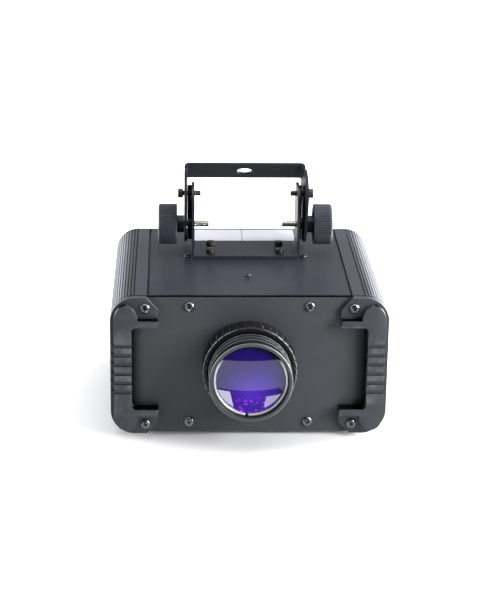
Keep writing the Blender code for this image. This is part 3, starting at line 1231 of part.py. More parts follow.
def make_control_board():
    half_x, half_y, half_z = (length / 2 for length in BOARD_SIZE)
    chip_x, chip_y, chip_z = BOARD_CHIP_SIZE
    centre = (BOARD_X, BOARD_Y, MIDDLE_HEIGHT)
    board = add_part("control_board", box_mesh((-half_x, -half_y, -half_z), (half_x, half_y, half_z)),
                     "circuit_board", location=centre)
    chips = []
    for y in (-chip_y, chip_y):
        chips.append(((-half_x - chip_x, y - chip_y / 2, -chip_z / 2), (0.0, y + chip_y / 2, chip_z / 2)))
    combine(board, add_cutter("board_chips", boxes_mesh(chips), location=centre), "UNION")
    pillar_y = half_y - BOARD_PILLAR_INSET
    pillar_z = half_z - BOARD_PILLAR_INSET
    reach = half_x + BOARD_PILLAR_LENGTH
    centres = [(reach / 2, y, z) for y in (-pillar_y, pillar_y) for z in (-pillar_z, pillar_z)]
    pillars = rods_mesh(centres, BOARD_PILLAR_RADIUS, reach, "X")
    combine(board, add_cutter("board_pillars", pillars, location=centre), "UNION")


def make_display():
    half_x = DISPLAY_SIZE[0] / 2
    half_z = DISPLAY_SIZE[1] / 2
    low = (-REAR_CONTROL_X - half_x, BODY_DEPTH - DISPLAY_DEPTH, DISPLAY_HEIGHT - half_z)
    high = (-REAR_CONTROL_X + half_x, BODY_DEPTH + DISPLAY_PROUD, DISPLAY_HEIGHT + half_z)
    add_part("display_window", box_mesh(low, high), "display_plastic")


def make_menu_buttons():
    seat = -PANEL_THICKNESS - GAP
    profile = [(0.0, BUTTON_PROUD), (BUTTON_RADIUS - BUTTON_EDGE, BUTTON_PROUD),
               (BUTTON_RADIUS, BUTTON_PROUD - BUTTON_EDGE), (BUTTON_RADIUS, seat),
               (BUTTON_FLANGE_RADIUS, seat), (BUTTON_FLANGE_RADIUS, -BUTTON_DEPTH), (0.0, -BUTTON_DEPTH)]
    for number, x in enumerate(reversed(button_places()), 1):
        button = add_part("menu_button_" + str(number), turned_mesh(profile, False), "black_plastic",
                          location=(x, BODY_DEPTH, BUTTON_HEIGHT), rotation=BACKWARD)
        turn(button, COARSE)


def make_power_inlet():
    flange_low = BODY_DEPTH + GAP
    flange_high = flange_low + FLANGE_THICKNESS
    outline = centred_rectangle(-REAR_CONTROL_X, INLET_HEIGHT, INLET_FLANGE)
    inlet = add_part("power_inlet", plate_mesh([outline], FLANGE_THICKNESS), "black_plastic",
                     location=(0.0, (flange_low + flange_high) / 2, 0.0))
    half_x = INLET_SIZE[0] / 2
    half_z = INLET_SIZE[1] / 2
    shell = box_mesh((-REAR_CONTROL_X - half_x, BODY_DEPTH - INLET_DEPTH, INLET_HEIGHT - half_z),
                     (-REAR_CONTROL_X + half_x, flange_low + FLANGE_THICKNESS / 2, INLET_HEIGHT + half_z))
    combine(inlet, add_cutter("inlet_shell", shell), "UNION")
    half_x = INLET_CAVITY[0] / 2
    half_z = INLET_CAVITY[1] / 2
    floor = BODY_DEPTH - INLET_DEPTH + CAVITY_FLOOR
    cavity = box_mesh((-REAR_CONTROL_X - half_x, floor, INLET_HEIGHT - half_z),
                      (-REAR_CONTROL_X + half_x, flange_high + CUT_MARGIN, INLET_HEIGHT + half_z))
    combine(inlet, add_cutter("inlet_cavity", cavity), "DIFFERENCE")


def make_data_sockets():
    for name, height in (("data_in_socket", SOCKET_IN_HEIGHT), ("data_out_socket", SOCKET_OUT_HEIGHT)):
        outline = centred_rectangle(REAR_CONTROL_X, height, SOCKET_FLANGE)
        y = BODY_DEPTH + GAP + FLANGE_THICKNESS / 2
        socket = add_part(name, plate_mesh([outline], FLANGE_THICKNESS), "black_plastic",
                          location=(0.0, y, 0.0))
        front = BODY_DEPTH - SOCKET_DEPTH
        shell_centre = (REAR_CONTROL_X, (front + y) / 2, height)
        shell = rods_mesh([shell_centre], SOCKET_RADIUS, y - front, "Y", MEDIUM)
        combine(socket, add_cutter(name + "_shell", shell), "UNION")
        floor = front + CAVITY_FLOOR
        mouth = y + FLANGE_THICKNESS / 2 + CUT_MARGIN
        cavity_centre = (REAR_CONTROL_X, (floor + mouth) / 2, height)
        cavity = rods_mesh([cavity_centre], SOCKET_CAVITY_RADIUS, mouth - floor, "Y", MEDIUM)
        combine(socket, add_cutter(name + "_cavity", cavity), "DIFFERENCE")


make_front_panel()
make_rear_panel()
make_top_cover()
make_base_tray()
make_side_profiles()
make_guards()
make_feet()
make_front_screws()
make_cover_screw()
make_lens_mount()
make_focus_ring()
make_lens_barrel()
make_front_lens()
make_retaining_ring()
make_yoke()
make_mount_saddle()
make_saddle_bolts()
make_limit_bolts()
make_spacers()
make_knobs()
make_studs()
make_optics_bracket()
make_condenser()
make_wheels_and_motors()
make_led_module()
make_heat_sink()
make_fan()
make_power_supply()
make_control_board()
make_display()
make_menu_buttons()
make_power_inlet()
make_data_sockets()
bpy.context.view_layer.update()
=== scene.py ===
import math

import bmesh
import bpy
from mathutils import Matrix, Vector


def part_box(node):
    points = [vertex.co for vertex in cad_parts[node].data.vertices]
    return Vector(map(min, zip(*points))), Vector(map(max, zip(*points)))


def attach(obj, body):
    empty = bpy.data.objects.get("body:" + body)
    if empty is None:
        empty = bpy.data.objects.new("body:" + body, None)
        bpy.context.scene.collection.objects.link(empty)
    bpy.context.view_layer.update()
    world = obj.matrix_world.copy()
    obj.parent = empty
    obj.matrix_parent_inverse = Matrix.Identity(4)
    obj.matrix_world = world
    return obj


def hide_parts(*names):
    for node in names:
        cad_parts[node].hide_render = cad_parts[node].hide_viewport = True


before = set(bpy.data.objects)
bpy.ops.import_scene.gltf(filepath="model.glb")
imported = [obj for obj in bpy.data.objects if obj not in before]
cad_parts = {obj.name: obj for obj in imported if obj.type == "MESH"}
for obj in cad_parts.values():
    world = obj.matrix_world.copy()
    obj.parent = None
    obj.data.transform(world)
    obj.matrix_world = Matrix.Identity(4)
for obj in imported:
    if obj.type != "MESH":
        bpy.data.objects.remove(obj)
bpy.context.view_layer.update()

print("frame loaded,", len(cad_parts), "nodes")

# Lengths are in metres. Y is counted from the front panel's face and heights from the body's underside.
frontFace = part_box("front_panel")[0].y
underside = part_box("base_tray")[0].z
coverLow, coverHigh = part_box("top_cover")
bodyHeight = coverHigh.z - underside
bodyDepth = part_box("rear_panel")[1].y - frontFace
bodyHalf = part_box("right_guard")[1].x
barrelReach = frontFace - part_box("lens_barrel")[0].y

fromPanel = Matrix.Translation((0.0, frontFace, underside))
toFront = Matrix.Rotation(math.pi / 2, 4, "X")       # carries a piece's own height onto -Y
toBack = Matrix.Rotation(-math.pi / 2, 4, "X")
toRight = Matrix.Rotation(math.pi / 2, 4, "Y")
toLeft = Matrix.Rotation(-math.pi / 2, 4, "Y")
toTop = Matrix.Identity(4)
toFloor = Matrix.Rotation(math.pi, 4, "X")
gap = 0.0003             # the usual gap between one piece and the next
overcut = 0.001          # how far a cutter stands out of what it cuts
weldReach = 0.000002
sides = {"left": -1, "right": 1}
outward = {"left": toLeft, "right": toRight}


def at(x, y, z, turned=toTop):
    return fromPanel @ Matrix.Translation((x, y, z)) @ turned


def twisted(degrees):
    return Matrix.Rotation(math.radians(degrees), 4, "Z")


def middleOf(name):
    low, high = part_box(name)
    return (low.x + high.x) / 2, (low.y + high.y) / 2 - frontFace, (low.z + high.z) / 2 - underside


lensAxis = middleOf("lens_barrel")[2]
pivotY, pivotZ = middleOf("right_knob")[1:]


def newObject(name, data):
    made = bpy.data.objects.new(name, data)
    bpy.context.scene.collection.objects.link(made)
    return made


# Flat and turned shapes

def arc(centreU, centreV, radius, start, end, steps):
    points = []
    for step in range(steps + 1):
        angle = math.radians(start + (end - start) * step / steps)
        points.append((centreU + radius * math.cos(angle), centreV + radius * math.sin(angle)))
    return points


def circle(centreU, centreV, radius, steps=48):
    return arc(centreU, centreV, radius, 0.0, 360.0 * (steps - 1) / steps, steps - 1)


def roundedBox(lowU, lowV, highU, highV, radius, steps=8):
    points = arc(highU - radius, highV - radius, radius, 0.0, 90.0, steps)
    points += arc(lowU + radius, highV - radius, radius, 90.0, 180.0, steps)
    points += arc(lowU + radius, lowV + radius, radius, 180.0, 270.0, steps)
    points += arc(highU - radius, lowV + radius, radius, 270.0, 360.0, steps)
    return points


def softCorners(points, size, closed=True, steps=3, sharpTurn=math.radians(20.0)):
    rounded = []
    count = len(points)
    for i, corner in enumerate(points):
        here = Vector(corner)
        before = Vector(points[i - 1]) - here
        after = Vector(points[(i + 1) % count]) - here
        atEnd = not closed and i in (0, count - 1)
        if atEnd or before.angle(-after) < sharpTurn:
            rounded.append(tuple(corner))
            continue
        reach = min(size, before.length * 0.45, after.length * 0.45)
        start = here + before.normalized() * reach
        end = here + after.normalized() * reach
        for step in range(steps + 1):
            share = step / steps
            point = start * (1 - share) ** 2 + here * 2 * share * (1 - share) + end * share ** 2
            rounded.append((point.x, point.y))
    return rounded


def meshFrom(bm):
    mesh = bpy.data.meshes.new("shape")
    bm.to_mesh(mesh)
    bm.free()
    return mesh


def cylinderMesh(radius, low, high, segments, bore=0.0):
    return latheMesh([(bore, high), (radius, high), (radius, low), (bore, low)], segments, closed=bore > 0.0)


def latheMesh(profile, segments, closed=False, ripple=None):
    # profile is (radius, height) points; ripple gives the radius at (radius, height, angle)
    bm = bmesh.new()
    rings = []
    for radius, height in profile:
        if radius < weldReach:
            rings.append([bm.verts.new((0.0, 0.0, height))])
            continue
        ring = []
        for step in range(segments):
            angle = 2 * math.pi * step / segments
            reach = ripple(radius, height, angle) if ripple else radius
            ring.append(bm.verts.new((reach * math.cos(angle), reach * math.sin(angle), height)))
        rings.append(ring)
    pairs = list(zip(rings, rings[1:]))
    if closed:
        pairs.append((rings[-1], rings[0]))
    for upper, lower in pairs:
        for step in range(segments):
            after = (step + 1) % segments
            if len(upper) == 1:
                bm.faces.new((upper[0], lower[step], lower[after]))
            elif len(lower) == 1:
                bm.faces.new((upper[step], lower[0], upper[after]))
            else:
                bm.faces.new((upper[step], lower[step], lower[after], upper[after]))
    bmesh.ops.recalc_face_normals(bm, faces=bm.faces)
    return meshFrom(bm)


def plateMesh(loops, thickness, edge=0.0, edgeSteps=2, turned=toFront):
    # A flat plate about its own middle: the first loop is its edge, the others are holes
    curve = bpy.data.curves.new("outline", "CURVE")
    curve.dimensions = "2D"
    curve.fill_mode = "BOTH"
    curve.extrude = thickness / 2 - edge
    curve.bevel_depth = edge
    curve.bevel_resolution = edgeSteps
    curve.offset = -edge
    for loop in loops:
        spline = curve.splines.new("POLY")
        spline.points.add(len(loop) - 1)
        for point, (u, v) in zip(spline.points, loop):
            point.co = (u, v, 0.0, 1.0)
        spline.use_cyclic_u = True
    outline = newObject("outline", curve)
    graph = bpy.context.evaluated_depsgraph_get()
    mesh = bpy.data.meshes.new_from_object(outline.evaluated_get(graph))
    bpy.data.objects.remove(outline, do_unlink=True)
    bpy.data.curves.remove(curve)
    bm = bmesh.new()
    bm.from_mesh(mesh)
    bmesh.ops.remove_doubles(bm, verts=bm.verts, dist=weldReach)
    bmesh.ops.dissolve_degenerate(bm, dist=weldReach, edges=bm.edges)
    bmesh.ops.recalc_face_normals(bm, faces=bm.faces)
    bmesh.ops.transform(bm, matrix=turned, verts=bm.verts)
    bm.to_mesh(mesh)
    bm.free()
    return mesh


def plateBetween(loops, near, far, edge=0.0):
    # An upright plate that reaches from one Y to another
    return moved(plateMesh(loops, far - near, edge), Matrix.Translation((0.0, (near + far) / 2, 0.0)))


def boxesMesh(corners):
    bm = bmesh.new()
    for low, high in corners:
        low = Vector(low)
        high = Vector(high)
        matrix = Matrix.Translation((low + high) / 2) @ Matrix.Diagonal((*(high - low), 1.0))
        bmesh.ops.create_cube(bm, size=1.0, matrix=matrix)
    return meshFrom(bm)


def moved(mesh, matrix):
    mesh.transform(matrix)
    return mesh


def carved(mesh, cuts=(), adds=()):
    # The shapes in adds are joined on before those in cuts are taken away
    base = newObject("carving", mesh)
    helpers = [base]
    for shape, operation in [(shape, "UNION") for shape in adds] + [(shape, "DIFFERENCE") for shape in cuts]:
        helpers.append(newObject("carver", shape))
        boolean = base.modifiers.new("carve", "BOOLEAN")
        boolean.object = helpers[-1]
        boolean.operation = operation
        boolean.solver = "EXACT"
    graph = bpy.context.evaluated_depsgraph_get()
    result = bpy.data.meshes.new_from_object(base.evaluated_get(graph))
    for helper in helpers:
        bpy.data.objects.remove(helper, do_unlink=True)
    return result


# Shader helpers

def addNode(tree, kind, **settings):
    node = tree.nodes.new(kind)
    for key, value in settings.items():
        setattr(node, key, value)
    return node


def feed(tree, source, target):
    if isinstance(source, bpy.types.NodeSocket):
        tree.links.new(source, target)
    elif target.type == "RGBA":
        target.default_value = (*source, 1.0)
    else:
        target.default_value = source


def calculate(tree, operation, first, second=0.5, clamp=False):
    node = addNode(tree, "ShaderNodeMath", operation=operation, use_clamp=clamp)
    feed(tree, first, node.inputs[0])
    feed(tree, second, node.inputs[1])
    return node.outputs[0]


def times(tree, product, *values):
    for value in values:
        product = calculate(tree, "MULTIPLY", product, value)
    return product


def larger(tree, first, second):
    return calculate(tree, "MAXIMUM", first, second)


def over(tree, value, limit):
    return calculate(tree, "GREATER_THAN", value, limit)


def under(tree, value, limit):
    return calculate(tree, "LESS_THAN", value, limit)


def within(tree, value, low, high):
    return times(tree, over(tree, value, low), under(tree, value, high))


def sizeOf(tree, value):
    return calculate(tree, "ABSOLUTE", value)


def squareRoot(tree, first, second):
    squares = [calculate(tree, "POWER", value, 2.0) for value in (first, second)]
    return calculate(tree, "SQRT", calculate(tree, "ADD", *squares))


def blendColours(tree, share, first, second):
    node = addNode(tree, "ShaderNodeMix", data_type="RGBA")
    for number, source in ((0, share), (6, first), (7, second)):
        feed(tree, source, node.inputs[number])
    return node.outputs[2]


def remap(tree, value, low, high, toLow=0.0, toHigh=1.0):
    node = addNode(tree, "ShaderNodeMapRange")
    for place, number in enumerate((value, low, high, toLow, toHigh)):
        feed(tree, number, node.inputs[place])
    return node.outputs[0]


def noiseAt(tree, vector, scale, detail=2.0, roughness=0.5):
    node = addNode(tree, "ShaderNodeTexNoise")
    for name, value in (("Vector", vector), ("Scale", scale), ("Detail", detail), ("Roughness", roughness)):
        feed(tree, value, node.inputs[name])
    return node.outputs["Fac"]


def objectPlace(tree):
    return addNode(tree, "ShaderNodeTexCoord").outputs["Object"]


def axesOf(tree, vector):
    node = addNode(tree, "ShaderNodeSeparateXYZ")
    feed(tree, vector, node.inputs[0])
    return node.outputs


def newGroup(name, inputs, *outputs):
    # Sockets are numbers, apart from the one named Colour
    group = bpy.data.node_groups.new(name, "ShaderNodeTree")
    kinds = {"Colour": "NodeSocketColor"}
    for inputName, value in inputs.items():
        kind = kinds.get(inputName, "NodeSocketFloat")
        socket = group.interface.new_socket(name=inputName, in_out="INPUT", socket_type=kind)
        socket.default_value = value
    for outputName in outputs:
        kind = kinds.get(outputName, "NodeSocketFloat")
        group.interface.new_socket(name=outputName, in_out="OUTPUT", socket_type=kind)
    entry = group.nodes.new("NodeGroupInput").outputs
    result = group.nodes.new("NodeGroupOutput").inputs
    return group, entry, result


def makeGrainGroup():
    # Fine grain of a coated, moulded or cast surface, with a slow drift of tone
    inputs = {"Colour": (0.5, 0.5, 0.5, 1.0), "Grain Scale": 900.0, "Fleck": 0.1, "Drift": 0.05,
              "Roughness": 0.5, "Roughness Change": 0.05}
    group, entry, result = newGroup("surfaceGrain", inputs, "Colour", "Roughness", "Height")
    place = objectPlace(group)
    fine = noiseAt(group, place, entry["Grain Scale"], 3.0, 0.6)
    slow = calculate(group, "SUBTRACT", noiseAt(group, place, 22.0, 3.0, 0.55), 0.5)
    fineTone = times(group, calculate(group, "SUBTRACT", fine, 0.5), entry["Fleck"])
    tone = calculate(group, "ADD", fineTone, times(group, slow, entry["Drift"]))
    scaled = addNode(group, "ShaderNodeVectorMath", operation="SCALE")
    feed(group, entry["Colour"], scaled.inputs[0])
    feed(group, calculate(group, "ADD", tone, 1.0), scaled.inputs["Scale"])
    feed(group, scaled.outputs[0], result["Colour"])
    change = times(group, slow, entry["Roughness Change"])
    feed(group, calculate(group, "ADD", entry["Roughness"], change, True), result["Roughness"])
    feed(group, fine, result["Height"])
    return group


def makeWearGroup():
    # Lighter edges, broken up by noise: partly rubbed wear, partly painted edge highlight
    group, entry, result = newGroup("edgeWearAndHighlight", {"Amount": 0.5, "Patch Scale": 60.0}, "Mask")
    pointed = addNode(group, "ShaderNodeNewGeometry").outputs["Pointiness"]
    patches = noiseAt(group, objectPlace(group), entry["Patch Scale"], 4.0, 0.65)
    mask = times(group, remap(group, pointed, 0.515, 0.60), remap(group, patches, 0.42, 0.62))
    feed(group, calculate(group, "MULTIPLY", mask, entry["Amount"], True), result["Mask"])
    return group


def makeDustGroup():
    # A thin film of dust on faces that look up
    group, entry, result = newGroup("fineDust", {"Amount": 0.05}, "Mask")
    facing = axesOf(group, addNode(group, "ShaderNodeNewGeometry").outputs["Normal"])
    cloud = noiseAt(group, objectPlace(group), 35.0, 5.0, 0.6)
    mask = times(group, remap(group, facing["Z"], 0.6, 1.0), remap(group, cloud, 0.35, 0.75))
    feed(group, calculate(group, "MULTIPLY", mask, entry["Amount"], True), result["Mask"])
    return group


shadeLimits = ("Low X", "High X", "Low Y", "High Y", "Low Z", "High Z", "Looks Up")


def makeShadeGroup():
    # Painted shade mask: faces inside a box mirrored in X, of those that look up by at least a given share
    group, entry, result = newGroup("cornerShade", dict.fromkeys(shadeLimits, 0.0), "Mask")
    source = addNode(group, "ShaderNodeTexCoord").outputs
    place = axesOf(group, source["Object"])
    mask = over(group, axesOf(group, source["Normal"])["Z"], entry["Looks Up"])
    for axis in "XYZ":
        value = sizeOf(group, place[axis]) if axis == "X" else place[axis]
        mask = times(group, mask, within(group, value, entry["Low " + axis], entry["High " + axis]))
    feed(group, mask, result["Mask"])
    return group


grainGroup = makeGrainGroup()
wearAndHighlightGroup = makeWearGroup()
dustGroup = makeDustGroup()
shadeGroup = makeShadeGroup()


def placeGroup(tree, group, values):
    node = addNode(tree, "ShaderNodeGroup", node_tree=group)
    for key, value in values.items():
        feed(tree, value, node.inputs[key])
    return node.outputs


def startMaterial(name):
    material = bpy.data.materials.new(name)
    material.use_nodes = True
    tree = material.node_tree
    return material, tree, tree.nodes["Principled BSDF"]


surfaceDefaults = {
    "colour": (0.05, 0.05, 0.05), "roughness": 0.5, "metallic": 0.0, "grainScale": 900.0, "fleck": 0.2,
    "drift": 0.1, "roughnessChange": 0.08, "bump": 0.10, "bumpDepth": 0.0001, "wearAndHighlight": 0.0,
    "wornAndHighlightColour": (0.20, 0.20, 0.21), "dust": 0.01, "dustColour": (0.45, 0.44, 0.42), "coat": 0.0,
    "coatRoughness": 0.1, "specular": 0.5, "shades": (), "paintedShade": None,
    "paintedShadeColour": (0.0005, 0.0005, 0.0005), "paintedHighlight": None, "paintedHighlightColour": (0.5, 0.5, 0.5),
    "paintedHighlightMetallic": 0.9,
}


def makeSurface(name, changes):
    look = {**surfaceDefaults, **changes}
    material, tree, shader = startMaterial(name)
    grain = placeGroup(tree, grainGroup, {
        "Colour": look["colour"], "Grain Scale": look["grainScale"], "Fleck": look["fleck"],
        "Drift": look["drift"], "Roughness": look["roughness"], "Roughness Change": look["roughnessChange"]})
    wornAndLitEdges = placeGroup(tree, wearAndHighlightGroup, {"Amount": look["wearAndHighlight"]})["Mask"]
    dusty = placeGroup(tree, dustGroup, {"Amount": look["dust"]})["Mask"]
    rubbedAndLit = blendColours(tree, wornAndLitEdges, grain["Colour"], look["wornAndHighlightColour"])
    colour = blendColours(tree, dusty, rubbedAndLit, look["dustColour"])
    metallic = look["metallic"]
    if look["paintedHighlight"]:
        # Painted highlight: a function of the tree gives its mask
        mask = look["paintedHighlight"](tree)
        colour = blendColours(tree, mask, colour, look["paintedHighlightColour"])
        metallic = larger(tree, metallic, times(tree, mask, look["paintedHighlightMetallic"]))
    boxes = [dict(zip(shadeLimits, limits)) for limits in look["shades"]]
    dark = [placeGroup(tree, shadeGroup, box)["Mask"] for box in boxes]
    if look["paintedShade"]:
        dark.append(look["paintedShade"](tree))
    for mask in dark:
        # Painted shade: black metal mirrors nothing, so these faces look like a deep corner
        colour = blendColours(tree, mask, colour, look["paintedShadeColour"])
        metallic = larger(tree, metallic, mask)
    feed(tree, colour, shader.inputs["Base Color"])
    feed(tree, grain["Roughness"], shader.inputs["Roughness"])
    feed(tree, metallic, shader.inputs["Metallic"])
    shader.inputs["Specular IOR Level"].default_value = look["specular"]
    shader.inputs["Coat Weight"].default_value = look["coat"]
    shader.inputs["Coat Roughness"].default_value = look["coatRoughness"]
    bump = addNode(tree, "ShaderNodeBump")
    bump.inputs["Strength"].default_value = look["bump"]
    bump.inputs["Distance"].default_value = look["bumpDepth"]
    feed(tree, grain["Height"], bump.inputs["Height"])
    feed(tree, bump.outputs["Normal"], shader.inputs["Normal"])
    return material


def placeParts(tree):
    return axesOf(tree, objectPlace(tree))


def pastMiddle(tree, value, middle, reach):
    offset = sizeOf(tree, calculate(tree, "SUBTRACT", value, middle))
    return larger(tree, calculate(tree, "SUBTRACT", offset, reach), 0.0)


# Where the masks below begin and end. Four numbers are a range, then what its two ends become.
maskSet = {
    "grooveRadius": 0.0217,               # of the side profile's corners
    "grooveFall": (0.00070, 0.00045),     # below the profile's face: full painted shade, and none
    "barShade": (0.0930, 0.1040),         # across the front panel, towards the guards' bars
    "barShadeCurve": 1.6,
    "barShadeDepth": 0.85,
    "barShadeEnd": 0.0262,                # from the panel's lower and upper edges
    "panelTopEdge": 0.0009,
    "ridgeCrest": 0.03658,                # the barrel's ridges
    "ridgeStart": 0.0060,
    "ridgeFade": (0.006, 0.022, 0.16, 0.45),
    "rimBand": (0.0362, 0.0370),
    "rimDepth": 0.0010,
    "faceDepth": 0.0002,
    "faceGleam": 0.10,
    "toothWall": (0.0402, 0.04155),
    "toothWallEnd": 0.0186,
    "toothFront": (0.0185, 0.0192),
    "toothFrontRadius": 0.0405,
    "toothFade": (0.010, 0.030, 0.0, 0.40),
    "ringShade": (0.0160, 0.0205),
}


def grooveGloom(tree):
    # Painted shade on the side profile below its outer face: the floors of its grooves and its seam
    place = placeParts(tree)
    radius = maskSet["grooveRadius"]
    dark, clear = (radius - fall for fall in maskSet["grooveFall"])
    acrossX = pastMiddle(tree, place["X"], 0.0, bodyHalf - gap - radius)
    acrossZ = pastMiddle(tree, place["Z"], bodyHeight / 2, bodyHeight / 2 - radius)
    return remap(tree, squareRoot(tree, acrossX, acrossZ), dark, clear, 1.0, 0.0)


def barGloom(tree):
    # Painted shade on the front panel along the guards' bars, and on its top edge at the seam
    m = maskSet
    place = placeParts(tree)
    near = remap(tree, sizeOf(tree, place["X"]), *m["barShade"])
    height = calculate(tree, "SUBTRACT", place["Z"], underside)
    level = within(tree, height, m["barShadeEnd"], bodyHeight - m["barShadeEnd"])
    soft = times(tree, calculate(tree, "POWER", near, m["barShadeCurve"]), level, m["barShadeDepth"])
    return larger(tree, soft, over(tree, height, bodyHeight - m["panelTopEdge"]))


def barrelGleam(tree):
    # Painted highlights on three ridges and the rim's edge, stronger to the left and right, and its grey
    # face
    m = maskSet
    place = placeParts(tree)
    reach = squareRoot(tree, place["X"], place["Y"])
    share = remap(tree, sizeOf(tree, place["X"]), *m["ridgeFade"])
    behind = under(tree, place["Z"], barrelReach - m["ridgeStart"])
    ridges = times(tree, over(tree, reach, m["ridgeCrest"]), behind, share)
    front = over(tree, place["Z"], barrelReach - m["rimDepth"])
    rim = times(tree, within(tree, reach, *m["rimBand"]), front, share)
    face = times(tree, over(tree, place["Z"], barrelReach - m["faceDepth"]), m["faceGleam"])
    return larger(tree, larger(tree, ridges, rim), face)


def toothGleam(tree):
    # Painted highlights on the walls between the focus ring's teeth, and on its front edge towards the left
    # and right
    m = maskSet
    place = placeParts(tree)
    reach = squareRoot(tree, place["X"], place["Y"])
    walls = times(tree, within(tree, reach, *m["toothWall"]), under(tree, place["Z"], m["toothWallEnd"]))
    front = times(tree, within(tree, place["Z"], *m["toothFront"]), over(tree, reach, m["toothFrontRadius"]))
    share = remap(tree, sizeOf(tree, place["X"]), *m["toothFade"])
    return larger(tree, walls, times(tree, front, share))


def ringGloom(tree):
    # The retaining ring's top, in the shade of the barrel's rim
    return remap(tree, placeParts(tree)["Z"], *maskSet["ringShade"])


# Painted shade boxes: the cover's front and side seams, the screw recesses, and the guards' walls that look
# up
coverShades = ((0.0, 1.0, coverLow.y - 0.001, coverLow.y + 0.0011, coverHigh.z - 0.002, 1.0, -2.0),
               (coverHigh.x - 0.0007, 1.0, -1.0, 1.0, coverHigh.z - 0.002, 1.0, -2.0))
screwShades = ((0.0, 0.0022, -0.0022, 0.0022, 0.0004, 0.0013, -2.0),)
guardShades = ((0.0, 0.1190, -0.0123, 0.0, 0.0, bodyHeight - 0.0118, 0.60),
               (0.1100, 0.1195, -0.0120, -0.0055, bodyHeight - 0.0118, bodyHeight - 0.004, 0.75))

panelLook = dict(colour=(0.022, 0.0245, 0.029), roughness=0.48, grainScale=1300.0, fleck=0.6, drift=0.05,
                 bump=0.40, bumpDepth=0.0002)


looks = {
    "powderCoat": dict(colour=(0.011, 0.0125, 0.019), roughness=0.40, grainScale=1500.0, fleck=0.4,
                       drift=0.05, bump=0.25, specular=0.36, shades=coverShades),
    "panelCoat": panelLook,
    "frontCoat": dict(panelLook, paintedShade=barGloom),
    "yokeCoat": dict(colour=(0.013, 0.014, 0.020), roughness=0.42, grainScale=1600.0, fleck=0.4,
                     drift=0.05, bump=0.20, specular=0.04),
    "ribbedAluminium": dict(colour=(0.14, 0.145, 0.17), roughness=0.28, metallic=0.9, grainScale=1800.0,
                            fleck=0.06, drift=0.02, bump=0.0, roughnessChange=0.02, dust=0.0,
                            paintedShade=grooveGloom),
    "guardPlastic": dict(colour=(0.021, 0.023, 0.029), roughness=0.36, grainScale=2200.0, fleck=0.15,
                         drift=0.04, roughnessChange=0.03, wearAndHighlight=0.16, wornAndHighlightColour=(0.28, 0.28, 0.30),
                         dust=0.0, shades=guardShades),
    "blackPlastic": dict(colour=(0.006, 0.006, 0.008), roughness=0.38, grainScale=2500.0, wearAndHighlight=0.1),
    "knobPlastic": dict(colour=(0.015, 0.017, 0.025), roughness=0.42, grainScale=2200.0, wearAndHighlight=0.3,
                        wornAndHighlightColour=(0.20, 0.21, 0.24)),
    "footRubber": dict(colour=(0.012, 0.012, 0.012), roughness=0.85, grainScale=1800.0, fleck=0.5,
                       bump=0.3, wearAndHighlight=0.1),
    "blackScrew": dict(colour=(0.22, 0.23, 0.25), roughness=0.24, metallic=1.0, grainScale=3000.0,
                       bump=0.05, wearAndHighlight=0.4, wornAndHighlightColour=(0.6, 0.6, 0.6), shades=screwShades),
    "darkScrew": dict(colour=(0.030, 0.028, 0.027), roughness=0.30, metallic=0.6, grainScale=3000.0,
                      bump=0.05, wearAndHighlight=0.15, wornAndHighlightColour=(0.35, 0.33, 0.31), dust=0.0, shades=screwShades),
    "brightSteel": dict(colour=(0.66, 0.64, 0.58), roughness=0.26, metallic=1.0, grainScale=2600.0,
                        bump=0.05, dust=0.0),
    "ringSteel": dict(colour=(0.93, 0.93, 0.95), roughness=0.42, metallic=1.0, grainScale=2600.0,
                      bump=0.03, dust=0.0, paintedShade=ringGloom),
    "ringBlack": dict(colour=(0.005, 0.005, 0.006), roughness=0.26, grainScale=2600.0, bump=0.05,
                      dust=0.0, specular=0.25, paintedHighlight=toothGleam, paintedHighlightColour=(0.55, 0.56, 0.58)),
    "barrelAnodised": dict(colour=(0.008, 0.008, 0.010), roughness=0.27, grainScale=2600.0, bump=0.04,
                           dust=0.0, specular=0.05, paintedHighlight=barrelGleam, paintedHighlightColour=(0.40, 0.41, 0.43),
                           paintedHighlightMetallic=0.5),
    "wheelAluminium": dict(colour=(0.70, 0.71, 0.72), roughness=0.33, metallic=1.0, bump=0.05),
    "circuitBoard": dict(colour=(0.020, 0.110, 0.045), roughness=0.42, coat=0.3),
    "zincSteel": dict(colour=(0.52, 0.53, 0.55), roughness=0.38, metallic=0.9, grainScale=400.0,
                      fleck=0.25),
    "potting": dict(colour=(0.020, 0.020, 0.023), roughness=0.55),
    "labelFilm": dict(colour=(0.44, 0.44, 0.47), roughness=0.35, grainScale=700.0, fleck=0.04,
                      drift=0.04, bump=0.04, dust=0.0),
}


finishes = {name: makeSurface(name, look) for name, look in looks.items()}


glassLooks = {
    "clearGlass": {"colours": ((0.90, 0.93, 0.95), (0.81, 0.837, 0.855)), "cloudScale": 30.0,
                   "smearScale": 60.0, "roughness": (0.03, 0.08),
                   "sockets": {"Transmission Weight": 0.85, "IOR": 1.5}},
    "displayGlass": {"colours": ((0.020, 0.003, 0.003), (0.030, 0.005, 0.005)), "cloudScale": 40.0,
                     "smearScale": 80.0, "roughness": (0.04, 0.14), "sockets": {"Coat Weight": 0.8}},
}


def makeGlass(name, look):
    material, tree, shader = startMaterial(name)
    place = objectPlace(tree)
    tint = blendColours(tree, noiseAt(tree, place, look["cloudScale"]), *look["colours"])
    smear = remap(tree, noiseAt(tree, place, look["smearScale"], 4.0), 0.3, 0.8, *look["roughness"])
    feed(tree, tint, shader.inputs["Base Color"])
    feed(tree, smear, shader.inputs["Roughness"])
    for socket, value in look["sockets"].items():
        shader.inputs[socket].default_value = value
    return material


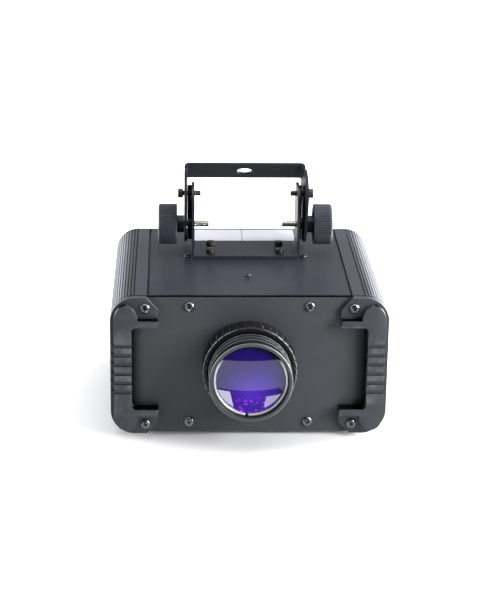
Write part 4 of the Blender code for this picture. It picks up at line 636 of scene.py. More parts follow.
lensLook = {
    "deep": (0.008, 0.003, 0.070),       # at the rim
    "bright": (0.046, 0.014, 0.270),     # below the middle: a painted glow, as if lit from inside
    "drop": 0.014,
    "paintedGlowRadius": 0.030,
    "cloudScale": 45.0,
    # painted glints, low on the lens
    "paintedGlint": (0.40, 0.03, 0.90),
    "sparkScale": 330.0,
    "sparkStretch": (0.55, 1.2, 1.0),
    "sparkEdge": (0.05, 0.38, 1.0, 0.0),       # shares of a cell, then of the spark's colour
    "sparkStrength": 0.9,
    "sparksBelow": (-0.0135, -0.0190),         # heights from the middle, where they begin and are full
    "sparksAside": (0.010, 0.017, 1.0, 0.0),
    "sockets": {"Roughness": 0.03, "IOR": 1.9, "Coat Weight": 0.6, "Coat Roughness": 0.02},
}


def makeLensViolet():
    # Coated glass: violet, painted brighter below the middle as if lit from inside, with a few painted
    # glints low down
    look = lensLook
    material, tree, shader = startMaterial("lensViolet")
    place = objectPlace(tree)
    parts = axesOf(tree, place)
    drop = calculate(tree, "ADD", parts["Y"], look["drop"])
    middle = remap(tree, squareRoot(tree, parts["X"], drop), 0.0, look["paintedGlowRadius"], 1.0, 0.0)
    cloudy = calculate(tree, "ADD", noiseAt(tree, place, look["cloudScale"], 3.0), 0.5)
    share = calculate(tree, "MULTIPLY", middle, cloudy, True)
    violet = blendColours(tree, share, look["deep"], look["bright"])
    stretched = addNode(tree, "ShaderNodeVectorMath", operation="MULTIPLY")
    feed(tree, place, stretched.inputs[0])
    feed(tree, look["sparkStretch"], stretched.inputs[1])
    cells = addNode(tree, "ShaderNodeTexVoronoi")
    feed(tree, stretched.outputs[0], cells.inputs["Vector"])
    feed(tree, look["sparkScale"], cells.inputs["Scale"])
    dots = remap(tree, cells.outputs["Distance"], *look["sparkEdge"])
    low = remap(tree, parts["Y"], *look["sparksBelow"])
    aside = remap(tree, sizeOf(tree, parts["X"]), *look["sparksAside"])
    region = times(tree, dots, times(tree, low, aside))
    paintedGlints = calculate(tree, "MULTIPLY", region, look["sparkStrength"], True)
    feed(tree, blendColours(tree, paintedGlints, violet, look["paintedGlint"]), shader.inputs["Base Color"])
    for socket, value in look["sockets"].items():
        shader.inputs[socket].default_value = value
    return material


finishes["lensViolet"] = makeLensViolet()
for glassName, glassLook in glassLooks.items():
    finishes[glassName] = makeGlass(glassName, glassLook)
print("materials made")


# Pieces

def coatMesh(mesh, finish):
    mesh.materials.clear()
    mesh.materials.append(finishes[finish])
    mesh.shade_smooth()


def newPiece(name, mesh, finish, matrix, body="root", slot=None, replaces=(), sharp=32.0):
    mesh.name = name
    piece = newObject(name, mesh)
    piece.matrix_world = matrix
    coatMesh(mesh, finish)
    mesh.set_sharp_from_angle(angle=math.radians(sharp))
    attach(piece, body)
    if replaces:
        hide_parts(*replaces)
    return piece


def nodePiece(name, mesh, finish, matrix, slot, **more):
    # Stands in for the CAD node of its name
    return newPiece(name.replace("_", "-"), mesh, finish, matrix, slot=slot, replaces=[name], **more)


def softenEdges(piece, width):
    bevel = piece.modifiers.new("softEdges", "BEVEL")
    bevel.width = width
    bevel.segments = 2
    bevel.limit_method = "ANGLE"
    bevel.angle_limit = math.radians(36.0)
    bevel.miter_outer = "MITER_ARC"
    bevel.use_clamp_overlap = True
    flattenFaces(piece, False)


def flattenFaces(piece, keepSharp):
    weighted = piece.modifiers.new("flatFaces", "WEIGHTED_NORMAL")
    weighted.keep_sharp = keepSharp
    weighted.weight = 80


def dressNode(name, finish, edge):
    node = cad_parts[name]
    mesh = node.data
    if "custom_normal" in mesh.attributes:
        mesh.attributes.remove(mesh.attributes["custom_normal"])
    coatMesh(mesh, finish)
    weld = node.modifiers.new("weld", "WELD")
    weld.merge_threshold = 0.00001
    softenEdges(node, edge)


# Camera, floor and lights

cameraSet = {
    "place": (-0.06733, -1.58117, 0.65380),
    "lens": 108.0,        # millimetres
    "sensor": 36.0,
    "pitch": 19.243,      # degrees down
    "yaw": 2.568,         # degrees towards +X
    "roll": 0.877,
}


def makeCamera():
    pitch, yaw, roll = (math.radians(cameraSet[turn]) for turn in ("pitch", "yaw", "roll"))
    forward = Vector((math.sin(yaw) * math.cos(pitch), math.cos(yaw) * math.cos(pitch), -math.sin(pitch)))
    right = Vector((math.cos(yaw), -math.sin(yaw), 0.0))
    up = right.cross(forward)
    rightRolled = right * math.cos(roll) + up * math.sin(roll)
    upRolled = up * math.cos(roll) - right * math.sin(roll)
    data = bpy.data.cameras.new("photoCamera")
    data.lens = cameraSet["lens"]
    data.sensor_width = cameraSet["sensor"]
    data.clip_start = 0.05
    data.clip_end = 50.0
    camera = newObject("photoCamera", data)
    axes = Matrix((rightRolled, upRolled, -forward)).transposed()
    camera.matrix_world = Matrix.Translation(cameraSet["place"]) @ axes.to_4x4()
    bpy.context.scene.camera = camera


stageSet = {
    "floorHalfWidth": 9.0,
    "floorColour": (0.56, 0.56, 0.565),
    "floorRoughness": 0.8,
    "floorGlow": 0.9,                      # lifts the floor away from the part to white
    "glowReach": (0.11, 0.45),             # distances from the part's middle
    "floorMirrored": (0.76, 0.77, 0.80),   # what the part's gloss sees of the floor in front
    "mirroredEnd": (-1.08, -1.12),
    "floorMirroredFar": (0.03, 0.03, 0.035),
    "mirroredShadowColour": (0.05, 0.05, 0.06),
    "mirroredShadowStretch": (-0.232, -0.135),       # a painted shadow of the barrel on the floor, seen only in reflections under the lens, and its soft sides
    "mirroredShadowSides": (0.074, 0.082),
    "patchLeft": (4.60, 4.60, 4.70),       # two bright cards on it, either side of the lens
    "patchRight": (3.00, 3.00, 3.10),
    "patchFront": (-0.222, -0.200),        # the left card's front edge and the right one's
    "patchRear": -0.160,
    "patchOuter": 0.078,
    "patchInner": (-0.225, -0.169, 0.044, 0.025),   # the inner edge leans in towards the lens
    "floorBehind": (0.2, 0.5),             # where the horizon's colours take over
    "floorHorizon": (0.1, 0.5),
    "horizonRear": (2.00, 2.00, 2.06),     # mirrored by the rounded sides
    "horizonRight": (3.60, 3.60, 3.66),
    "worldFront": (0.03, 0.03, 0.035),
    "worldRear": (0.11, 0.115, 0.14),      # mirrored by faces that look up
    "worldHigh": (0.50, 0.51, 0.56),
    "worldBehind": (-0.2, 0.3),
    "worldLevel": (0.20, 0.12),
    "worldHorizon": (0.1, 0.3),
    "worldTop": (0.40, 0.80),
    "backdrop": (1.0, 1.0, 1.0),           # what the camera sees above the floor
    "worldStrength": 1.0,
}


def horizonAt(tree, across, limits):
    share = remap(tree, across, *limits)
    return blendColours(tree, share, stageSet["horizonRear"], stageSet["horizonRight"])


# place, what it looks at, width, height, watts
lights = {
    "topBox": ((0.0, 0.15, 1.70), (0.0, 0.05, 0.1), 2.4, 2.0, 38.0),
    "leftBox": ((-1.20, -0.55, 0.50), (0.0, 0.0, 0.08), 0.7, 0.8, 4.0),
    "rightBox": ((0.78, -0.62, 0.45), (0.05, -0.05, 0.08), 0.5, 0.6, 26.0),
    "leftStrip": ((-1.20, 0.45, 0.30), (0.0, 0.05, 0.08), 0.9, 0.6, 30.0),
    "rightStrip": ((1.20, 0.45, 0.30), (0.0, 0.05, 0.08), 0.9, 0.6, 75.0),
}


def makeFloor():
    s = stageSet
    reach = s["floorHalfWidth"]
    corners = [(-reach, -reach, 0), (reach, -reach, 0), (reach, reach, 0), (-reach, reach, 0)]
    mesh = bpy.data.meshes.new("floor")
    mesh.from_pydata(corners, [], [(0, 1, 2, 3)])
    floor = newObject("floor", mesh)
    material, tree, shader = startMaterial("paleFloor")
    feed(tree, s["floorColour"], shader.inputs["Base Color"])
    feed(tree, (1.0, 1.0, 1.0), shader.inputs["Emission Color"])
    shader.inputs["Roughness"].default_value = s["floorRoughness"]
    rays = addNode(tree, "ShaderNodeLightPath").outputs
    place = objectPlace(tree)
    away = addNode(tree, "ShaderNodeVectorMath", operation="LENGTH")
    feed(tree, place, away.inputs[0])
    glow = remap(tree, away.outputs["Value"], *s["glowReach"], 0.0, s["floorGlow"])
    feed(tree, times(tree, rays["Is Camera Ray"], glow), shader.inputs["Emission Strength"])
    parts = axesOf(tree, place)
    side = sizeOf(tree, parts["X"])
    rightHand = over(tree, parts["X"], 0.0)
    mirroredShadow = times(tree, within(tree, parts["Y"], *s["mirroredShadowStretch"]),
                  remap(tree, side, *s["mirroredShadowSides"], 1.0, 0.0))
    colour = blendColours(tree, mirroredShadow, s["floorMirrored"], s["mirroredShadowColour"])
    patch = times(tree, over(tree, side, remap(tree, parts["Y"], *s["patchInner"])),
                  over(tree, parts["Y"], remap(tree, rightHand, 0.0, 1.0, *s["patchFront"])),
                  under(tree, parts["Y"], s["patchRear"]), under(tree, side, s["patchOuter"]))
    card = blendColours(tree, rightHand, s["patchLeft"], s["patchRight"])
    colour = blendColours(tree, patch, colour, card)
    behind = remap(tree, parts["Y"], *s["floorBehind"])
    colour = blendColours(tree, behind, colour, horizonAt(tree, parts["X"], s["floorHorizon"]))
    distant = remap(tree, parts["Y"], *s["mirroredEnd"])
    mirrored = addNode(tree, "ShaderNodeEmission")
    feed(tree, blendColours(tree, distant, colour, s["floorMirroredFar"]), mirrored.inputs["Color"])
    mix = addNode(tree, "ShaderNodeMixShader")
    for number, source in enumerate((rays["Is Glossy Ray"], shader.outputs[0], mirrored.outputs[0])):
        feed(tree, source, mix.inputs[number])
    feed(tree, mix.outputs[0], tree.nodes["Material Output"].inputs["Surface"])
    mesh.materials.append(material)


def makeWorld():
    s = stageSet
    world = bpy.data.worlds.new("studio")
    bpy.context.scene.world = world
    world.use_nodes = True
    tree = world.node_tree
    background = tree.nodes["Background"]
    direction = axesOf(tree, addNode(tree, "ShaderNodeTexCoord").outputs["Generated"])
    level = remap(tree, direction["Z"], *s["worldLevel"])
    horizon = horizonAt(tree, direction["X"], s["worldHorizon"])
    behind = blendColours(tree, level, s["worldRear"], horizon)
    low = blendColours(tree, remap(tree, direction["Y"], *s["worldBehind"]), s["worldFront"], behind)
    studio = blendColours(tree, remap(tree, direction["Z"], *s["worldTop"]), low, s["worldHigh"])
    seen = addNode(tree, "ShaderNodeLightPath").outputs["Is Camera Ray"]
    feed(tree, blendColours(tree, seen, studio, s["backdrop"]), background.inputs["Color"])
    background.inputs["Strength"].default_value = s["worldStrength"]


def makeLights():
    for name, (place, aim, width, height, watts) in lights.items():
        data = bpy.data.lights.new(name, "AREA")
        data.shape = "RECTANGLE"
        data.size = width
        data.size_y = height
        data.energy = watts
        light = newObject(name, data)
        light.location = place
        towards = Vector(aim) - Vector(place)
        light.rotation_euler = towards.to_track_quat("-Z", "Y").to_euler()


bpy.context.scene.view_settings.view_transform = "Standard"
makeCamera()
makeFloor()
makeWorld()
makeLights()
print("camera, floor and lights made")


# CAD nodes that keep their shape

keptNodes = {
    "top_cover": ("powderCoat", 0.0005), "base_tray": ("powderCoat", 0.0005),
    "front_panel": ("frontCoat", 0.0003), "optics_bracket": ("zincSteel", 0.0002),
    "yoke": ("yokeCoat", 0.0004), "mount_saddle": ("powderCoat", 0.0004),
    "condenser_lens": ("clearGlass", 0.0001), "colour_wheel": ("wheelAluminium", 0.0001),
    "colour_wheel_motor": ("zincSteel", 0.0003), "ripple_wheel": ("clearGlass", 0.0001),
    "ripple_wheel_motor": ("zincSteel", 0.0003), "led_module": ("circuitBoard", 0.0001),
    "led_heat_sink": ("wheelAluminium", 0.0002), "power_supply": ("potting", 0.0005),
    "control_board": ("circuitBoard", 0.0001), "lens_mount": ("blackPlastic", 0.0002),
    "fan_frame": ("blackPlastic", 0.0003), "left_pivot_spacer": ("blackPlastic", 0.0002),
    "right_pivot_spacer": ("blackPlastic", 0.0002),
}


def dressKeptNodes():
    for name, (finish, edge) in keptNodes.items():
        dressNode(name, finish, edge)


# Side profiles

profileSet = {
    "inset": 0.0003,
    "corner": 0.0220,
    "wall": 0.0024,
    "ribPitch": 0.00286,
    "ribDepth": 0.0009,
    "ribCrest": 0.0015,
    "crestProud": 0.00006,
    "grooveShape": ((0.0, 0.0), (0.10, -0.25), (0.18, -0.75), (0.32, -1.0), (0.68, -1.0), (0.82, -0.75),
                    (0.90, -0.25), (1.0, 0.0)),     # shares of its width and depth
    "lipWidth": 0.0072,
    "lipThickness": 0.0020,
    "sheet": 0.0015,
    "seam": 0.0016,
}


def profilePathPoint(distance, offset):
    # A point on the profile's outer face, by its distance along the ribbed part
    edge = bodyHalf - profileSet["inset"]
    radius = profileSet["corner"] - profileSet["inset"]
    quarter = radius * math.pi / 2
    straight = bodyHeight - 2 * radius
    reach = radius + offset
    if distance < quarter:
        angle = math.pi / 2 - distance / radius
        return (edge - radius + reach * math.cos(angle), bodyHeight - radius + reach * math.sin(angle))
    if distance < quarter + straight:
        return (edge + offset, bodyHeight - radius - (distance - quarter))
    angle = -(distance - quarter - straight) / radius
    return (edge - radius + reach * math.cos(angle), radius + reach * math.sin(angle))


def ribbedOutline():
    s = profileSet
    radius = s["corner"] - s["inset"]
    length = radius * math.pi + bodyHeight - 2 * radius
    count = int(length / s["ribPitch"])
    pitch = length / count
    groove = pitch - s["ribCrest"]
    points = []
    for rib in range(count):
        start = rib * pitch
        for share, fall in s["grooveShape"]:
            points.append(profilePathPoint(start + groove * share, s["ribDepth"] * fall))
        points.append(profilePathPoint(start + (pitch + groove) / 2, s["crestProud"]))
    points.append(profilePathPoint(length, 0.0))
    return points


def profileLip(outerZ, inward):
    s = profileSet
    seamX = coverHigh.x + s["seam"]
    shelf = outerZ + inward * (s["sheet"] + gap)
    beneath = shelf + inward * s["lipThickness"]
    lipX = seamX - s["lipWidth"]
    rootX = seamX + s["lipThickness"]
    return [(seamX, outerZ), (seamX, shelf), (lipX, shelf), (lipX, beneath), (rootX, beneath),
            (rootX, outerZ + inward * s["wall"])]


def makeSideProfiles():
    wall = profileSet["inset"] + profileSet["wall"]
    radius = profileSet["corner"] - wall
    edge = bodyHalf - wall
    outline = ribbedOutline() + profileLip(0.0, 1)
    outline += arc(edge - radius, radius + profileSet["wall"], radius, -90.0, 0.0, 8)
    outline += arc(edge - radius, bodyHeight - radius - profileSet["wall"], radius, 0.0, 90.0, 8)
    outline += reversed(profileLip(bodyHeight, -1))
    low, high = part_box("right_side_profile")
    place = at(0.0, middleOf("right_side_profile")[1], 0.0)
    for label, side in sides.items():
        mesh = plateMesh([[(side * x, z) for x, z in outline]], high.y - low.y)
        nodePiece(label + "_side_profile", mesh, "ribbedAluminium", place, "anodised_profile")


# Front guards

guardSet = {
    "padProud": 0.0052,
    "faceProud": 0.0125,
    "barInner": 0.1046,
    "barOuter": 0.1203,
    "padInner": 0.0808,
    "chamfer": 0.0104,
    "chamferDrop": 0.0114,
    "ledgeTop": 0.0194,
    "ledgeBottom": 0.0260,
    "ledgeLip": 0.0020,
    "padSoftness": 0.0008,
    "faceSoftness": 0.0006,
    "fillet": 0.0040,
    "corner": 0.0220,
    "archHalf": 0.0105,
    "archRise": 0.0135,
    "archSteps": 24,
    "step": 0.0002,
    "grooves": 6,
    "groovePitch": 0.00872,
    "grooveWidth": 0.0034,
    "grooveDepth": 0.0014,
    "notchWidth": 0.0024,
    "notchDepth": 0.0016,
    "notchInset": 0.0004,     # from the bar's outer edge
    "overcut": 0.0030,
    "edge": 0.00045,
}


def mirroredDown(points):
    return points + [(x, bodyHeight - z) for x, z in reversed(points)]


def guardPadOutline():
    g = guardSet
    ledge = bodyHeight - g["ledgeBottom"]
    corner = g["corner"]
    inner = g["padInner"]
    upper = arc(g["barInner"] - g["fillet"], ledge - g["fillet"], g["fillet"], 0.0, 90.0, 8)
    upper += softCorners([(inner + g["ledgeLip"], ledge), (inner, ledge),
                          (inner, bodyHeight - g["chamferDrop"]), (inner + g["chamfer"], bodyHeight),
                          (bodyHalf - corner - 0.001, bodyHeight)], g["padSoftness"], False)
    upper += arc(bodyHalf - corner, bodyHeight - corner, corner, 90.0, 0.0, 20)
    return mirroredDown(upper)


def guardFaceOutline():
    g = guardSet
    top = bodyHeight - g["ledgeTop"]
    bottom = bodyHeight - g["ledgeBottom"] + g["step"]
    inner = g["barInner"] + g["step"]
    lip = g["padInner"] + g["ledgeLip"]
    end = g["padInner"] + g["step"]
    upper = arc(inner - g["fillet"], bottom - g["fillet"], g["fillet"], 0.0, 90.0, 8)
    upper += softCorners([(lip, bottom), (end, bottom), (end, top), (lip, top)], g["faceSoftness"], False)
    for x, z in arc(0.0, 0.0, 1.0, 180.0, 0.0, g["archSteps"]):
        upper.append((g["barOuter"] - g["archHalf"] * (1.0 - x), top + g["archRise"] * z + g["step"]))
    return mirroredDown(upper)


def makeGuards():
    g = guardSet
    cut = g["overcut"]
    marks = ((g["barInner"] - cut, g["faceProud"], g["grooveDepth"], g["grooveWidth"] / 2),
             (g["barOuter"] + g["notchInset"], g["padProud"], g["notchDepth"], g["notchWidth"] / 2))
    for label, side in sides.items():
        pad = plateBetween([[(side * x, z) for x, z in guardPadOutline()]], -g["padProud"], -gap, g["edge"])
        face = plateBetween([[(side * x, z) for x, z in guardFaceOutline()]], -g["faceProud"],
                            -g["padProud"] / 2, g["edge"])
        boxes = []
        for i in range(g["grooves"]):
            z = bodyHeight / 2 + (i - (g["grooves"] - 1) / 2) * g["groovePitch"]
            for inner, proud, depth, half in marks:
                low, high = sorted((side * inner, side * (bodyHalf + cut)))
                boxes.append(((low, -proud - cut, z - half), (high, -proud + depth, z + half)))
        mesh = carved(pad, [boxesMesh(boxes)], [face])
        nodePiece(label + "_guard", mesh, "guardPlastic", at(0.0, 0.0, 0.0), "guard_plastic", sharp=40.0)


# Screws and bolts

screwSet = {
    "shank": 0.0017,
    "headRadius": 0.0045,
    "headHeight": 0.0026,
    "headShoulder": 0.22,         # the height of a dome's foot, as a share of the head's
    "headRim": 0.0002,
    "headCurve": 0.75,
    "length": 0.0100,
    "coverHeadRadius": 0.0032,
    "coverHeadHeight": 0.0018,
    "coverLength": 0.0040,
    "coverRecess": 0.72,          # its recess, as a share of the large one
    "edgeDistance": 0.0097,
    "recessWidth": 0.0011,
    "recessReach": 0.0023,
    "recessDepth": 0.0016,
    "twists": {"lower_left": 21.0, "lower_right": 62.0, "upper_left": 8.0, "upper_right": 40.0},
}


def panHeadMesh(shank, radius, height, length, recess=1.0):
    # A domed head with a cross recess, its seat at height zero
    s = screwSet
    foot = s["headShoulder"]
    profile = []
    for x, y in arc(0.0, 0.0, 1.0, 90.0, 0.0, 8):
        profile.append((radius * x, height * (foot + (1.0 - foot) * max(y, 0.0) ** s["headCurve"])))
    profile += [(radius, s["headRim"]), (radius - s["headRim"], 0.0), (shank, 0.0), (shank, -length),
                (0.0, -length)]
    low = height - s["recessDepth"] * recess
    high = height + overcut
    half = s["recessWidth"] * recess / 2
    reach = s["recessReach"] * recess
    upright = boxesMesh([((-half, -reach, low), (half, reach, high))])
    level = boxesMesh([((-reach, -half, low), (reach, half, high))])
    return carved(latheMesh(profile, 40), [carved(upright, adds=[level])])


def looseScrew(name, mesh, matrix, finish="blackScrew"):
    # A screw that the solids leave out
    newPiece(name.replace("_", "-"), mesh, finish, matrix, slot="black_screw")


def cornerPlaces(x):
    drop = screwSet["edgeDistance"]
    return {"lower_left": (-x, drop), "lower_right": (x, drop),
            "upper_left": (-x, bodyHeight - drop), "upper_right": (x, bodyHeight - drop)}


def makeFrontScrews():
    s = screwSet
    mesh = panHeadMesh(s["shank"], s["headRadius"], s["headHeight"], s["length"])
    for kind, proud in (("panel_screw_", 0.0), ("guard_screw_", guardSet["padProud"])):
        for corner, (x, z) in cornerPlaces(middleOf(kind + "upper_right")[0]).items():
            place = at(x, -proud - gap, z, toFront @ twisted(s["twists"][corner]))
            nodePiece(kind + corner, mesh, "blackScrew", place, "black_screw")


coverScrewSet = {
    "sideX": 0.0546,
    "sideY": 0.1135,
    "rearX": 0.0535,
    "traySpots": ((-0.060, 0.050), (0.060, 0.050), (-0.060, 0.160), (0.060, 0.160)),
}


def makeCoverScrews():
    s = screwSet
    c = coverScrewSet
    mesh = panHeadMesh(s["shank"], s["coverHeadRadius"], s["coverHeadHeight"], s["coverLength"],
                       s["coverRecess"])
    place = at(0.0, middleOf("cover_screw")[1], bodyHeight + gap)
    nodePiece("cover_screw", mesh, "darkScrew", place, "black_screw")
    for label, side in sides.items():
        place = at(side * c["sideX"], c["sideY"], bodyHeight + gap)
        looseScrew("cover-side-screw-" + label, mesh, place, "darkScrew")
    mesh = mesh.copy()
    sideX = middleOf("guard_screw_upper_right")[0]
    for kind, reach in (("rear-screw-", c["rearX"]), ("rear-side-screw-", sideX)):
        for corner, (x, z) in cornerPlaces(reach).items():
            looseScrew(kind + corner, mesh, at(x, bodyDepth + gap, z, toBack))
    for number, (x, y) in enumerate(c["traySpots"], 1):
        looseScrew("tray-screw-" + str(number), mesh, at(x, y, -gap, toFloor))


boltSet = {
    "saddleHeadRadius": 0.0040,
    "saddleHeadHeight": 0.0042,
    "saddleShank": 0.0020,
    "saddleLength": 0.0060,
    "saddleSoftness": 0.0005,
    "saddleTurns": {"front_left": 12.0, "front_right": 78.0, "rear_left": 150.0, "rear_right": 30.0},
    "slotWidth": 0.0011,
    "slotDepth": 0.0015,
    "limitHeadRadius": 0.0044,
    "limitHeadHeight": 0.0050,
    "limitShank": 0.0025,
    "limitPoint": 0.0020,
    "limitPointLength": 0.0006,
    "limitSoftness": 0.0004,
    "hexReach": 0.0024,
    "hexDepth": 0.0025,
    "threadPitch": 0.0008,
    "threadDepth": 0.0003,
}


def makeSaddleBolts():
    b = boltSet
    radius = b["saddleHeadRadius"]
    height = b["saddleHeadHeight"]
    shank = b["saddleShank"]
    profile = softCorners([(0.0, height), (radius, height), (radius, 0.0), (shank, 0.0),
                           (shank, -b["saddleLength"]), (0.0, -b["saddleLength"])],
                          b["saddleSoftness"], False)
    slot = boxesMesh([((-radius - overcut, -b["slotWidth"] / 2, height - b["slotDepth"]),
                       (radius + overcut, b["slotWidth"] / 2, height + overcut))])
    mesh = carved(latheMesh(profile, 40), [slot])
    for corner, turn in b["saddleTurns"].items():
        name = "saddle_bolt_" + corner
        x, y = middleOf(name)[:2]
        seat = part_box(name)[1].z - height - underside
        nodePiece(name, mesh, "darkScrew", at(x, y, seat, twisted(turn)), "black_screw")


def threadRipple(pitch, depth, low, high):
    # A thread between two heights, plain beyond them
    def ripple(radius, height, angle):
        share = (height / pitch - angle / (2 * math.pi)) % 1.0
        return radius - depth * abs(2 * share - 1.0) if low < height < high else radius
    return ripple


def threadedProfile(radius, low, high, pitch, perTurn=6):
    steps = round((high - low) / pitch * perTurn)
    return [(radius, high - (high - low) * step / steps) for step in range(steps + 1)]


def makeLimitBolts():
    b = boltSet
    shank = b["limitShank"]
    for label, turned in outward.items():
        name = label + "_limit_bolt"
        inner, outer = sorted(abs(corner.x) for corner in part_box(name))
        seat = outer - b["limitHeadHeight"]
        profile = softCorners([(0.0, outer), (b["limitHeadRadius"], outer), (b["limitHeadRadius"], seat),
                               (shank, seat)], b["limitSoftness"], False)
        profile += threadedProfile(shank, inner + b["limitPointLength"], seat - 0.0004, b["threadPitch"])
        profile += [(b["limitPoint"], inner), (0.0, inner)]
        thread = threadRipple(b["threadPitch"], b["threadDepth"], 0.0, seat - 0.0003)
        hexagon = cylinderMesh(b["hexReach"], outer - b["hexDepth"], outer + overcut, 6)
        mesh = carved(latheMesh(profile, 36, ripple=thread), [hexagon])
        nodePiece(name, mesh, "darkScrew", at(0.0, *middleOf(name)[1:], turned), "black_screw")


# Feet

footSet = {"radius": 0.0110, "base": 0.0095, "height": 0.0040, "rise": 0.0011, "well": 0.0038,
           "wellDepth": 0.0022, "softness": 0.0004}


def makeFeet():
    f = footSet
    top = f["height"] - gap
    deep = f["wellDepth"]
    profile = softCorners([(0.0, top), (f["radius"], top), (f["radius"], f["rise"]), (f["base"], 0.0),
                           (f["well"], 0.0), (f["well"] - 0.0003, deep), (0.0, deep)], f["softness"], False)
    mesh = latheMesh(profile, 40)
    for corner in ("front_left", "front_right", "rear_left", "rear_right"):
        place = at(*middleOf(corner + "_foot")[:2], -f["height"])
        nodePiece(corner + "_foot", mesh, "footRubber", place, "foot_rubber")


# Lens, barrel and focus ring

lensSet = {
    "barrelRadius": 0.0368,
    "bore": 0.0331,
    "tail": 0.0080,
    "shoulder": 0.0290,
    "collar": (0.0050, 0.0056),          # behind the barrel's front: the rim's rear edge, and its foot
    "ridges": (0.0106, 0.0173, 0.0236),
    "ridgeWidth": 0.0009,
    "ridgeHeight": 0.0008,
    "ridgeSlope": 0.0005,
    "rimWidth": 0.0018,
    "barrelSoftness": 0.00025,
    "thickness": 0.0110,
    "edge": 0.0030,
    "recess": 0.0042,
    "ringWidth": 0.0019,
    "ringThickness": 0.0013,
    "ringEdge": 0.0004,
    "ringSplit": 5.0,
    "ringSplitPlace": -96.0,
    "focusRadius": 0.0419,
    "focusReach": 0.0195,
    "focusBevel": 0.0010,
    "focusRearBevel": 0.0006,
    "focusSoftness": 0.0003,
    "focusTeeth": 36,
    "toothDepth": 0.0019,
    "toothValley": (0.07, 0.035),        # half the valley's share of a pitch, and a wall's
    "clearance": 0.0005,
}


def lensDrop(reach):
    radius = lensSet["bore"] - gap
    bulge = (lensSet["thickness"] - lensSet["edge"]) / 2
    sphere = (radius * radius + bulge * bulge) / (2 * bulge)
    return sphere - math.sqrt(sphere * sphere - reach * reach)


def lensCentre():
    back = barrelReach - lensSet["recess"] - lensSet["ringThickness"]
    radius = lensSet["bore"] - gap
    return back - gap - (lensSet["thickness"] / 2 - lensDrop(radius - lensSet["ringWidth"]))


def makeLens():
    radius = lensSet["bore"] - gap
    half = lensSet["thickness"] / 2
    steps = 14
    front = [(radius * step / steps, half - lensDrop(radius * step / steps)) for step in range(steps + 1)]
    back = [(reach, -height) for reach, height in reversed(front)]
    profile = [(reach, lensCentre() + height) for reach, height in front + back]
    nodePiece("front_lens", latheMesh(profile, 96), "lensViolet", at(0.0, 0.0, lensAxis, toFront),
              "violet_glass", body="lens_barrel")


def makeRetainingRing():
    s = lensSet
    outer = s["bore"] - gap
    inner = outer - s["ringWidth"]
    start = s["ringSplitPlace"] + s["ringSplit"] / 2
    end = s["ringSplitPlace"] + 360.0 - s["ringSplit"] / 2
    loop = arc(0.0, 0.0, outer, start, end, 90) + arc(0.0, 0.0, inner, end, start, 90)
    mesh = plateMesh([loop], s["ringThickness"], s["ringEdge"], 3)
    y = -barrelReach + s["recess"] + s["ringThickness"] / 2
    nodePiece("lens_retaining_ring", mesh, "ringSteel", at(0.0, y, lensAxis), "bright_steel",
              body="lens_barrel", sharp=50.0)


def makeBarrel():
    s = lensSet
    outer = s["barrelRadius"]
    valley = outer - s["ridgeHeight"]
    front = barrelReach
    profile = [(s["bore"], front - s["rimWidth"] * 0.3), (s["bore"] + s["rimWidth"] * 0.4, front),
               (outer - s["ridgeHeight"] * 0.6, front), (outer, front - s["ridgeHeight"]),
               (outer, front - s["collar"][0]), (valley, front - s["collar"][1])]
    half = s["ridgeWidth"] / 2
    foot = half + s["ridgeSlope"]
    for behind in s["ridges"]:
        height = front - behind
        profile += [(valley, height + foot), (outer, height + half), (outer, height - half),
                    (valley, height - foot)]
    seat = lensCentre() - gap
    drop = s["thickness"] / 2
    profile += [(valley, -s["tail"]), (s["shoulder"], -s["tail"]),
                (s["shoulder"], seat - (drop - lensDrop(s["shoulder"]))),
                (s["bore"], seat - (drop - lensDrop(s["bore"] - gap)))]
    mesh = latheMesh(softCorners(profile, s["barrelSoftness"], True, 2), 128, closed=True)
    nodePiece("lens_barrel", mesh, "barrelAnodised", at(0.0, 0.0, lensAxis, toFront), "black_anodised",
              body="lens_barrel", sharp=38.0)


def makeFocusRing():
    s = lensSet
    bore = s["barrelRadius"] + s["clearance"]
    front = s["focusReach"]
    back = 2 * gap
    outer = s["focusRadius"]
    valley = outer - s["toothDepth"]
    bevel = s["focusBevel"]
    rearBevel = s["focusRearBevel"]
    floorShare, wallShare = s["toothValley"]

    def teeth(radius, height, angle):
        if radius < valley:
            return radius
        share = (angle / (2 * math.pi) * s["focusTeeth"]) % 1.0
        rise = min(1.0, max(0.0, (abs(share - 0.5) - floorShare) / wallShare))
        return valley + (radius - valley) * rise

    profile = softCorners([(bore, front), (outer - bevel, front), (outer, front - bevel),
                           (outer, back + rearBevel), (outer - rearBevel, back), (bore, back)],
                          s["focusSoftness"], True, 2)
    mesh = latheMesh(profile, s["focusTeeth"] * 16, closed=True, ripple=teeth)
    nodePiece("focus_ring", mesh, "ringBlack", at(0.0, 0.0, lensAxis, toFront), "black_plastic",
              body="focus_ring", sharp=38.0)


# Knobs and studs

knobSet = {
    "radius": 0.0190,
    "inner": 0.0642,            # this, outer, hubFace and studInner count from the light's middle
    "outer": 0.0820,
    "hub": 0.0081,
    "hubFace": 0.0577,
    "ridges": 72,
    "ridgeDepth": 0.0007,
    "ridgeHalf": 0.26,          # half a valley, as a share of a ridge's pitch
    "ridgeCurve": 0.6,
    "edge": 0.0026,
    "rearEdge": 0.0006,
    "hollow": 0.0150,
    "hollowDepth": 0.0060,
    "boss": 0.0096,
    "bossDepth": 0.0008,
    "studRadius": 0.0030,
    "studShank": 0.0025,
    "studPoint": 0.0022,
    "studPointLength": 0.0010,
    "studInner": 0.0343,
    "socketDepth": 0.0090,
    "threadPitch": 0.0010,
    "threadDepth": 0.00055,
}


